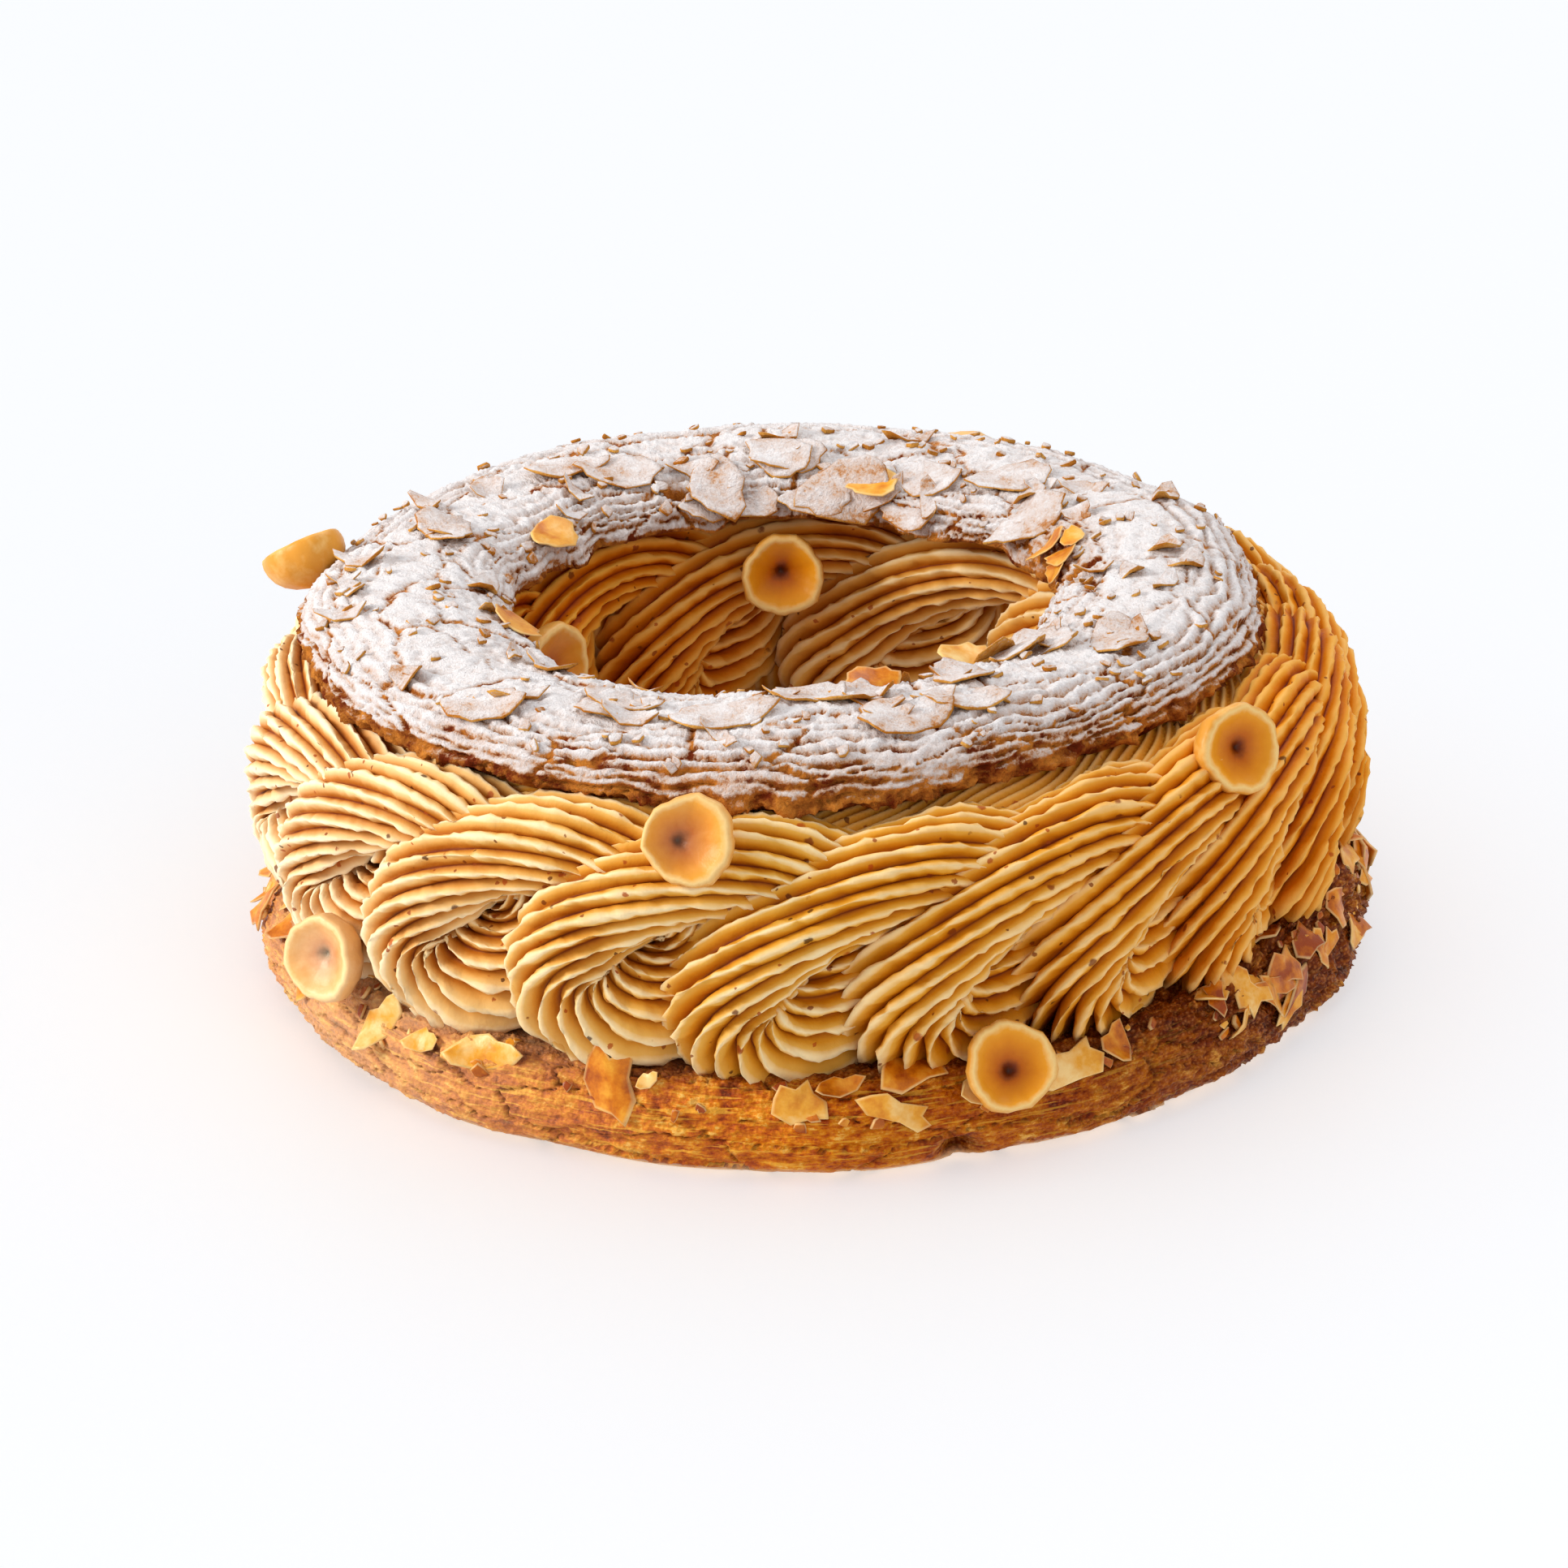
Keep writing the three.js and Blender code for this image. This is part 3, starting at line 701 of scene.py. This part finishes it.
def relief_tree():
    """Breaks a crust's skin into blocks of ridges with cracks between them, and blisters it."""
    add, given, result = new_tree(
        "baked relief", Material=["Material"],
        Float=["Ridge spacing", "Ridge height", "Block length", "Block width", "Crack width",
               "Crack depth", "Blister size", "Blister height", "Blister stretch", "Grain size",
               "Grain height"],
    )
    flow = add(READ, ["flow"], data_type="FLOAT_VECTOR")
    ridged, rough = add(READ, ["ridged"]), add(READ, ["rough"])
    normal = add("GeometryNodeInputNormal")
    wander = add(NOISE, [flow, None, 1 / (13 * MM), 5, 0.6]).outputs["Color"]
    wander = add(VECTOR_MATH, [wander, (0.5, 0.5, 0.5)], "SUBTRACT")
    wander = add(VECTOR_MATH, {"Vector": wander, "Scale": 9 * MM}, "SCALE")
    bent = add(VECTOR_MATH, [flow, wander], "ADD")
    block = add(JOIN, [given["Block length"], given["Block length"], given["Block width"]])
    in_blocks = add(VECTOR_MATH, [bent, block], "DIVIDE")
    blocks = add(CELLS, [in_blocks, None, 1])
    borders = add(CELLS, [in_blocks, None, 1], feature="DISTANCE_TO_EDGE")
    crack = add(
        MAP_RANGE, [borders.outputs["Distance"], 0.0, given["Crack width"], 1.0, 0.0],
        interpolation_type="SMOOTHSTEP",
    )
    across = add(SPLIT, [bent]).outputs[2]
    shift = add(SPLIT, [blocks.outputs["Color"]])
    row = add(MATH, [across, given["Ridge spacing"]], "DIVIDE")
    row = add(MATH, [row, shift.outputs[0]], "ADD")
    saw = add(MATH, [row], "FRACT")
    saw = add(MATH, [saw, 2, -1], "MULTIPLY_ADD")
    valley = add(MATH, [saw], "ABSOLUTE")
    valley = add(MATH, [valley, 3.4], "POWER")
    valley = add(MATH, [valley, ridged], "MULTIPLY")
    # the ridges fade out here and there, in patches 12 mm across
    worn = add(NOISE, [flow, None, 1 / (12 * MM), 3, 0.6])
    worn = add(MAP_RANGE, [worn, 0.32, 0.46, 0.1, 1.0])
    valley = add(MATH, [valley, worn], "MULTIPLY")
    groove = add(MATH, [valley, crack], "MAXIMUM")
    stretch = add(JOIN, [1, 1, given["Blister stretch"]])
    stretched = add(VECTOR_MATH, [bent, stretch], "MULTIPLY")
    lift, raised = 0, 0
    for kind, share in (("Blister", 2.2), ("Grain", 1.1)):
        scale = add(MATH, [1, given[kind + " size"]], "DIVIDE")
        noise = add(NOISE, [stretched, None, scale, 4, 0.65])
        noise = add(MATH, [noise, 0.5], "SUBTRACT")
        lift = add(MATH, [noise, given[kind + " height"], lift], "MULTIPLY_ADD")
        raised = add(MATH, [noise, share, raised], "MULTIPLY_ADD")
    raised = add(MATH, [raised, 0.5], "ADD")
    lift = add(MATH, [lift, rough], "MULTIPLY")
    tilt = add(MATH, [shift.outputs[1], 0.5], "SUBTRACT")
    tilt = add(MATH, [tilt, given["Crack depth"]], "MULTIPLY")
    lift = add(MATH, [lift, tilt], "ADD")
    for part, depth in ((valley, "Ridge height"), (crack, "Crack depth")):
        cut = add(MATH, [part, given[depth]], "MULTIPLY")
        lift = add(MATH, [lift, cut], "SUBTRACT")
    move = add(VECTOR_MATH, {"Vector": normal, "Scale": lift}, "SCALE")
    crust = add(STORE, [given["Geometry"], None, "groove", groove])
    crust = add(STORE, [crust, None, "raised", raised])
    crust = add(MOVE, [crust, None, None, move])
    # nothing reaches below the table
    place = add(SPLIT, [add("GeometryNodeInputPosition")])
    above = add(MATH, [place.outputs[2], 0], "MAXIMUM")
    above = add(JOIN, [place.outputs[0], place.outputs[1], above])
    crust = add(MOVE, [crust, None, above])
    up = add(SPLIT, [normal]).outputs[2]
    crust = add(STORE, [crust, None, "up", up])
    return end_tree(add, crust, given["Material"], result)


def flow_of(azimuth, radius, across):
    """Where a pattern that runs round the ring reads its place, without a seam."""
    x, y = radius * np.cos(azimuth), radius * np.sin(azimuth)
    return np.stack(np.broadcast_arrays(x, y, across), -1)


def make_base(tree, material):
    rows, columns = 1100, 88
    azimuth = all_round(rows)[:, None]
    # most columns go to the side and the shoulder, which show
    share = np.interp(np.arange(columns) / columns, [0, 0.1, 0.8, 1], [0, 0.1, 0.66, 1])[None, :]
    points = base_skin(azimuth, share)
    across = np.interp(share, [0, 0.08, 0.6, 0.81, 1], np.array([0, 42, 61, 104, 122]) * MM)
    height = points[..., 2]
    radius = np.hypot(points[..., 0], points[..., 1])
    outside = fade(radius, 70 * MM, 74 * MM)
    above_foot = fade(height, 0.4 * MM, 2.5 * MM)
    torn = swelling(azimuth, 68, 26)
    # the side is smooth and glossy between its foot and its shoulder, most of all at the front,
    # where the azimuth is turned by half a turn so that it doesn't jump
    smooth = 0.3 + 0.7 * swelling(azimuth + math.pi, 185, 45)
    smooth = outside * (1 - fade(height, 9 * MM, 13 * MM)) * smooth
    # a hole torn in the side, near the foot
    hole = np.exp(-(((height - 3.6 * MM) / (1.7 * MM)) ** 2)) * swelling(azimuth, 13.5, 1.7)
    points[..., :2] *= 1 - (hole * outside * 5 * MM / radius)[..., None]
    # pale at the foot and at the left, where it baked least; darkened with painted shade under the
    # cream, in the torn hole and at the right, away from the window
    tray = outside * (1 - fade(height, 0.8 * MM, 2.4 * MM))
    tray = np.maximum(tray, 0.5 * swelling(azimuth, 300, 30))
    seared = 0.9 * (1 - fade(radius, 82.5 * MM, 88 * MM)) + 1.6 * hole
    seared = np.clip(seared + 1.2 * swelling(azimuth, 80, 55), 0, 0.88)
    base = mesh_piece(
        "base_crust_baked", points, grid_faces(rows, columns), tray=tray, seared=seared,
        flow=flow_of(azimuth, 90 * MM, across), ridged=outside * (0.35 + 0.65 * torn),
        rough=above_foot * (1 + 1.6 * torn) * (1 - 0.6 * smooth),
    )
    grow(
        base, tree, ridge_spacing=2.4 * MM, ridge_height=0.4 * MM, block_length=26 * MM,
        block_width=6 * MM, crack_width=0.02, crack_depth=0.8 * MM, blister_size=4 * MM,
        blister_height=3.2 * MM, blister_stretch=1.5, grain_size=1.1 * MM, grain_height=1.1 * MM,
        material=material,
    )
    finish_piece(base, "baked_choux", "base_crust")


def make_lid(tree, material):
    rows, columns, below = 1080, 90, 10
    azimuth = all_round(rows)[:, None]
    along = np.linspace(0, math.pi, columns - below)[None, :]
    dome = lid_skin(azimuth, along)
    ends = np.linspace(dome[:, -1], dome[:, 0], below + 2, axis=1)[:, 1:-1]
    ends[..., 2] = LID_BOTTOM
    points = np.concatenate([dome, ends], 1)
    along = np.concatenate([along, np.linspace(math.pi, TAU, below)[None, :]], 1)
    top = along < math.pi
    # ridged on its steep parts, more on the outside than towards the hole
    steep = (0.35 + 0.5 * swelling(azimuth, 218, 35)) * fade(-np.cos(along), 0.1, 0.6)
    steep = steep + fade(np.cos(along), 0.15, 0.6)
    edge = 1 - fade(along, 0.06, 0.24)
    # the sugar is thin low on the outside, but not at the left and the right, and it is missing
    # from a patch beside the hole and from a small pit
    left, right = swelling(azimuth, 282, 45), swelling(azimuth, 78, 40)
    thin = 0.5 * (1 - fade(along, 0.3, 0.95)) * (1 - 0.8 * left - 0.5 * right)
    thin = thin - 0.3 * left - 0.1 * right
    bare = swelling(azimuth, 104, 14) * fade(along, 1.9, 2.5)
    pit = swelling(azimuth, 201, 1.8) * np.exp(-(((along - 2.45) / 0.1) ** 2))
    points[..., 2] -= 3.5 * MM * pit
    unsugared = np.maximum(edge, thin) + 0.8 * bare + 1.5 * pit
    lid = mesh_piece(
        "lid_crust_baked", points, grid_faces(rows, columns),
        flow=flow_of(azimuth, 60 * MM, 14.5 * MM * along),
        ridged=np.where(top, 0.15 + 0.85 * steep, 0) * (1 - 0.5 * left),
        rough=np.broadcast_to(np.where(top, 1 + 1.5 * edge, 0), (rows, columns)),
        unsugared=np.where(top, unsugared, 1),
    )
    grow(
        lid, tree, ridge_spacing=2.6 * MM, ridge_height=1.4 * MM, block_length=24 * MM,
        block_width=9 * MM, crack_width=0.035, crack_depth=0.6 * MM, blister_size=3.0 * MM,
        blister_height=2.0 * MM, blister_stretch=1.2, grain_size=1.3 * MM, grain_height=1.2 * MM,
        material=material,
    )
    finish_piece(lid, "sugared_choux", "lid_crust")


# Almonds and crumbs


def slab(name, outline, thickness, bow):
    """A thin flake with an outline of points, a rounded edge and a slight bow."""
    outline = np.asarray(outline, float)
    # each ring's size, its height as a share of the thickness, and how near it is to the rim
    profile = [
        (0.5, 0.5, 0.3), (0.86, 0.48, 0.7), (0.98, 0.35, 0.9), (1.0, -0.1, 1.0), (0.9, -0.5, 0.75),
    ]
    rings = [at_height(outline * size, up * thickness) for size, up, _ in profile]
    points, faces = closed_stack(rings, [[0, 0, thickness / 2], [0, 0, -thickness / 2]])
    points[:, 2] += bow * (points[:, 0] ** 2 + points[:, 0] * points[:, 1] - 0.08)
    rim = np.append(np.repeat([share for *_, share in profile], len(outline)), [0, 0])
    return mesh_piece(name, points, faces, rim=rim)


def almond_outline(sides, taper, roughness, seed):
    """An almond slice's outline, one unit long: an egg shape, pointed at one end."""
    turn = all_round(sides)
    rough = 1 + roughness * np.random.default_rng(seed).uniform(-1, 1, sides)
    wide = 0.5 * np.sin(turn) * (1 - taper * np.cos(turn))
    return np.stack([0.5 * np.cos(turn) * rough, wide * rough], -1)


SHARDS = [
    [(-0.5, -0.1), (-0.38, -0.38), (-0.05, -0.5), (0.3, -0.36), (0.5, -0.02), (0.34, 0.18),
     (0.12, 0.24), (-0.02, 0.46), (-0.3, 0.34)],
    [(-0.5, 0.05), (-0.3, -0.3), (0.1, -0.36), (0.36, -0.5), (0.5, -0.22), (0.36, 0.06),
     (0.42, 0.34), (0.08, 0.3), (-0.12, 0.5), (-0.34, 0.3)],
]


def laying_tree():
    """Lays a copy of a small shape at each point, facing out of the crust and bent a little."""
    inputs = {"Material": ["Material"], "Object": ["Shape"], "Float": ["Bend size", "Bend height"]}
    add, given, result = new_tree("laid on", **inputs)
    outwards, along, size = (
        add(READ, [label], data_type="FLOAT_VECTOR") for label in ("outwards", "along", "size")
    )
    turned = add(
        "FunctionNodeAxesToRotation", [outwards, along], primary_axis="Z", secondary_axis="X"
    )
    points = add("GeometryNodeMeshToPoints", [given["Geometry"]])
    shape = add("GeometryNodeObjectInfo", [given["Shape"]]).outputs["Geometry"]
    laid = add(
        "GeometryNodeInstanceOnPoints",
        {"Points": points, "Instance": shape, "Rotation": turned, "Scale": size},
    )
    laid = add("GeometryNodeRealizeInstances", [laid])
    place = add("GeometryNodeInputPosition")
    scale = add(MATH, [1, given["Bend size"]], "DIVIDE")
    bend = add(NOISE, [place, None, scale, 2, 0.5]).outputs["Color"]
    bend = add(VECTOR_MATH, [bend, (0.5, 0.5, 0.5)], "SUBTRACT")
    bend = add(VECTOR_MATH, {"Vector": bend, "Scale": given["Bend height"]}, "SCALE")
    laid = add(MOVE, [laid, None, None, bend])
    normal = add("GeometryNodeInputNormal")
    up = add(SPLIT, [normal]).outputs[2]
    laid = add(STORE, [laid, None, "up", up])
    return end_tree(add, laid, given["Material"], result)


def lay(name, tree, shape, skin, spots, material, lift, bend, tones=(-0.1, 0.7)):
    """Lays copies of a shape on a crust, so many mm above it and bent by so many mm. A spot is
    an azimuth in degrees, a share across the skin, a length and a width in mm, a turn and a tip
    in degrees."""
    azimuth, share, length, width, turn, tip = np.asarray(spots, float).T
    point, outwards, around = on_skin(skin, np.radians(azimuth), share)
    across = np.cross(outwards, around)
    turn, tip = np.radians(turn)[:, None], np.radians(tip)[:, None]
    along = around * np.cos(turn) + across * np.sin(turn)
    tipped = outwards * np.cos(tip) + np.cross(along, outwards) * np.sin(tip)
    size = np.stack([length, width, (length + width) / 2], -1) * MM
    tone = rng.uniform(*tones, len(point))
    raised = point + outwards * (lift * MM)
    piece = mesh_piece(name, raised, outwards=tipped, along=along, size=size, tone=tone)
    grow(piece, tree, shape=shape, bend_size=6 * MM, bend_height=bend * MM, material=material)
    finish_piece(piece, "almond")


def scattered(count, azimuths, shares, lengths, widths, tips=12):
    """Random spots between two azimuths and two shares across a skin."""
    ranges = (azimuths, shares, lengths, widths, (0, 360), (-tips, tips))
    return np.stack([rng.uniform(*ends, count) for ends in ranges], -1)


def make_almonds():
    tree = laying_tree()
    whole = slab("almond_slice", almond_outline(20, 0.25, 0.1, 1), 0.055, 0.3)
    bows = enumerate((0.9, -0.5))
    shards = [slab(f"almond_shard_{i}", SHARDS[i], 0.07, bow) for i, bow in bows]
    crumb = slab("crumb", almond_outline(6, 0.1, 0.45, 2), 0.35, 0)
    toasted = toasted_almond()
    powdered = sugared("sugared_almond", "#B87020", "#E2A850", -0.5, 2.6)
    # spots that are listed: azimuth, share across the dome, length, width, turn, tip
    on_lid = [
        (-8, 1.45, 16, 10, 8, 0), (16, 1.25, 15, 10, -4, 4), (-41, 1.0, 14, 9, 20, 0),
        (-111, 1.7, 14, 9, 40, 0), (-167, 2.55, 9, 14, 0, 8), (166, 2.65, 16, 12, 20, -6),
        (122, 2.5, 15, 10, 60, 5), (58, 1.5, 14, 9, 30, 0), (30, 1.9, 13, 9, 70, 6),
        (150, 2.2, 13, 9, -20, 0), (135, 1.9, 14, 9, 40, 4), (178, 2.1, 13, 8, 10, 0),
        (-150, 2.0, 14, 9, -30, 0), (-25, 1.75, 13, 9, -10, 0), (4, 1.95, 12, 8, 15, 5),
        (172, 2.85, 12, 7, 0, 35), (186, 2.9, 10, 6, 5, 40), (197, 2.85, 9, 6, -8, 30),
        (150, 2.85, 11, 7, 0, 35),
    ]
    on_lid += [*scattered(8, (0, 360), (1.1, 2.7), (10, 15), (7, 10))]
    lay("sugared_slices", tree, whole, lid_skin, on_lid, powdered, 0.5, 2.4)
    broken = scattered(46, (0, 360), (0.8, 2.8), (5, 11), (3, 7), 22)
    lay("sugared_shards", tree, shards[0], lid_skin, broken, powdered, 0.45, 1.6)
    at_hole = [
        (16, 2.3, 9, 7, 0, 50), (38, 2.5, 10, 8, 10, 55), (160, 2.5, 9, 8, 20, 20),
        (100, 2.6, 7, 5, 40, 10), (104, 2.35, 6, 4, -20, 10), (108, 2.7, 8, 5, 80, 15),
        (98, 2.8, 6, 4, 10, 20), (-125, 2.6, 10, 7, 0, 10), (-70, 2.6, 9, 6, 30, 10),
    ]
    lay("bare_flakes_lid", tree, whole, lid_skin, at_hole, toasted, 1.0, 1.4, (0.2, 0.8))
    on_base = [
        [(-50, 0.5, 12, 6, 70, 8), (-43, 0.52, 7, 4, 20, 0), (-35, 0.56, 14, 6, 8, 5),
         (-17, 0.57, 4, 3, 40, 0), (2, 0.58, 8, 4, 15, 4), (16, 0.5, 8, 5, 10, -6),
         (31, 0.57, 7, 6, 60, 10), (-60, 0.57, 8, 5, 0, 0), (45, 0.6, 9, 5, 20, 0)],
        [(-21, 0.53, 9, 13, 10, 12), (-2, 0.5, 8, 8, 30, 18), (7, 0.46, 12, 5, -18, 10),
         (25, 0.52, 13, 7, 20, 14), (56, 0.5, 9, 7, 0, 10), (9, 0.6, 11, 8, 30, 15)],
    ]
    for number, shares in enumerate(((0.45, 0.64), (0.42, 0.62))):
        spots = [*on_base[number], *scattered(14, (80, 300), shares, (5, 10), (4, 6))]
        name = f"almond_shards_base_{number + 1}"
        lay(name, tree, shards[number], base_skin, spots, toasted, 0.7, 1.8, (0.2, 0.85))
    # the torn side bristles with flakes of dark crust
    torn = scattered(36, (44, 112), (0.34, 0.66), (5, 12), (3, 8), 30)
    lay("crust_flakes_base", tree, shards[1], base_skin, torn, toasted, 0.6, 2.4, (0.05, 0.6))
    chips = scattered(170, (0, 360), (0.4, 0.68), (1.0, 3.4), (0.8, 2.4), 40)
    lay("almond_chips_base", tree, crumb, base_skin, chips, toasted, 0.3, 0.8)
    chips = scattered(260, (0, 360), (0.5, 2.9), (1.0, 3.2), (0.8, 2.2), 40)
    lay("almond_chips_lid", tree, crumb, lid_skin, chips, powdered, 0.3, 0.8)
    for shape in (whole, *shards, crumb):
        bpy.data.objects.remove(shape)


# Hazelnut halves

NUT_RADIUS = 6.9 * MM
NUT_DEPTH = 7.2 * MM
NUT_SIDES = 36
# azimuth, radius and height of the cut face's middle, the azimuth that it looks to and its tip,
# in degrees and mm, how far the pit lies off its middle, as a share of its radius, and how pale
# its hollow is
NUTS = [
    (-12, 86.5, 54.5, -8, 26, 0.3, 0.15), (18, 93, 18.2, 12, 24, 0.12, 0.0),
    (-56, 92, 21.5, -38, 12, 0.1, 0.6), (49, 86.5, 54.5, 30, 20, 0.1, 0.0),
    (-106, 84.5, 61, -140, 55, 0.15, 0.0), (108, 92, 22, 112, 14, 0.2, 0.3),
    (160, 88, 51, 165, 24, 0.1, 0.6), (-160, 92, 20, -158, 14, 0.2, 0.2),
    (-176, 41.5, 46, 4, 14, 0.1, 0.0), (-109, 41.5, 42.5, 50, 10, 0.2, 0.1),
    (-40, 41.5, 44, 140, 14, 0.1, 0.4), (12, 41.5, 34, -168, 10, 0.2, 0.2),
    (66, 41.5, 44, -114, 14, 0.15, 0.5),
]


def make_nuts(material):
    turn = all_round(NUT_SIDES)
    # radius and height round half a nut, as shares of its radius and depth, from the pit out
    # over the rim and round the back
    profile = [
        (0.04, -0.46), (0.1, -0.39), (0.2, -0.33), (0.35, -0.28), (0.52, -0.22), (0.67, -0.14),
        (0.79, -0.03), (0.86, 0.0), (0.95, -0.01), (0.985, -0.08), (1.0, -0.2), (0.97, -0.38),
        (0.88, -0.58), (0.72, -0.76), (0.5, -0.9), (0.25, -0.98), (0.06, -1.0),
    ]
    pit_depth = -0.465
    for number, (azimuth, radius, height, looks, tip, off, pale) in enumerate(NUTS, 1):
        shift = rng.uniform(0, TAU)
        uneven = 1 + waves(turn, (0.035, 3, shift), (0.022, 7, 2 * shift), (0.016, 13, 3 * shift))
        side = TAU * rng.uniform() if number > 1 else math.pi
        pit = off * np.array([math.cos(side), math.sin(side)])
        rings, across = [], []
        for reach, up in profile:
            on_face = reach < 0.96 and up > -0.5
            flat = reach * uneven[:, None] * np.stack([np.cos(turn), np.sin(turn)], -1)
            flat += pit * (1 - reach) * on_face
            rings.append(at_height(flat * NUT_RADIUS, up * NUT_DEPTH))
            across += [reach if on_face else 1.0] * NUT_SIDES
        ends = [[*pit * NUT_RADIUS, pit_depth * NUT_DEPTH], [0, 0, -NUT_DEPTH]]
        points, faces = closed_stack(rings, ends)
        level = math.radians(tip)
        look = Vector(on_ring(math.radians(looks), math.cos(level), math.sin(level)))
        turned = np.array(look.to_track_quat("Z", "Y").to_matrix())
        middle = on_ring(math.radians(azimuth), radius * MM, height * MM)
        nut = mesh_piece(
            f"hazelnut_half_{number:02d}", points @ turned.T + middle, faces,
            across=[*across, 0, 1], pale=np.full(len(points), pale),
        )
        nut.data.materials.append(material)
        finish_piece(nut, "hazelnut", f"hazelnut_{number:02d}")


# Stage


def make_camera():
    """A long lens that looks a little down at the pastry, turned slightly on its axis."""
    aim, distance = Vector((-3.8, 0, 26.2)) * MM, 0.9
    elevation, roll = math.radians(23.49), math.radians(-1.63)
    back = Vector((0, -math.cos(elevation), math.sin(elevation)))
    data = bpy.data.cameras.new("camera")
    data.lens = 127.96
    data.sensor_width = 36
    data.clip_start = 0.05
    camera = bpy.data.objects.new("camera", data)
    turn = (-back).to_track_quat("-Z", "Y").to_matrix()
    turn = (turn @ Matrix.Rotation(roll, 3, "Z")).to_4x4()
    camera.matrix_world = Matrix.Translation(aim + distance * back) @ turn
    bpy.context.scene.collection.objects.link(camera)
    bpy.context.scene.camera = camera


def make_light(name, place, aim, size, watts, colour):
    data = bpy.data.lights.new(name, "AREA")
    data.shape, data.size, data.energy = "DISK", size, watts
    data.color = linear(colour)[:3]
    light = bpy.data.objects.new(name, data)
    light.location = place
    light.rotation_euler = (Vector(aim) - Vector(place)).to_track_quat("-Z", "Y").to_euler()
    bpy.context.scene.collection.objects.link(light)
    return light


def make_stage():
    """A pale table under a soft window on the left, a skylight and a weak fill."""
    material, _, shader = new_material("pale_table", 0.55, 1.45)
    shader.inputs["Base Color"].default_value = linear("#E6E9EE")
    shader.inputs["Emission Color"].default_value = linear("#F6FAFF")
    shader.inputs["Emission Strength"].default_value = 0.44
    floor = mesh_piece("table", [(-3, -3, 0), (3, -3, 0), (3, 3, 0), (-3, 3, 0)], [(0, 1, 2, 3)])
    floor.data.materials.append(material)
    world = bpy.data.worlds.new("studio")
    world.use_nodes = True
    world.node_tree.nodes["Background"].inputs["Color"].default_value = linear("#FCFAF8")
    world.node_tree.nodes["Background"].inputs["Strength"].default_value = 0.7
    bpy.context.scene.world = world
    window = make_light("window", (-0.76, -0.12, 0.42), (0, 0, 0.03), 0.36, 6.2, "#FFFAF2")
    make_light("fill", (0.3, -0.8, 0.4), (0, 0, 0.03), 0.6, 0.7, "#FFF4E6")
    sky = make_light("skylight", (0.3, 0.3, 0.75), (0, 0, 0.03), 0.5, 2.4, "#FFFCF6")
    # the window and the skylight light the pastry alone: the table is lit evenly from all round
    lit = bpy.data.collections.new("lit by the windows")
    for piece in bpy.data.objects:
        if piece.type == "MESH" and piece != floor:
            lit.objects.link(piece)
    for light in (window, sky):
        light.light_linking.receiver_collection = lit
    bpy.context.scene.view_settings.view_transform = "Standard"


cream = praline_cream()
make_ropes(cream)
make_core(cream)
relief = relief_tree()
make_base(relief, baked_choux())
make_lid(relief, sugared("sugared_choux", "#6E2604", "#CC8030", 0.5))
make_almonds()
make_nuts(cut_hazelnut())
make_camera()
make_stage()
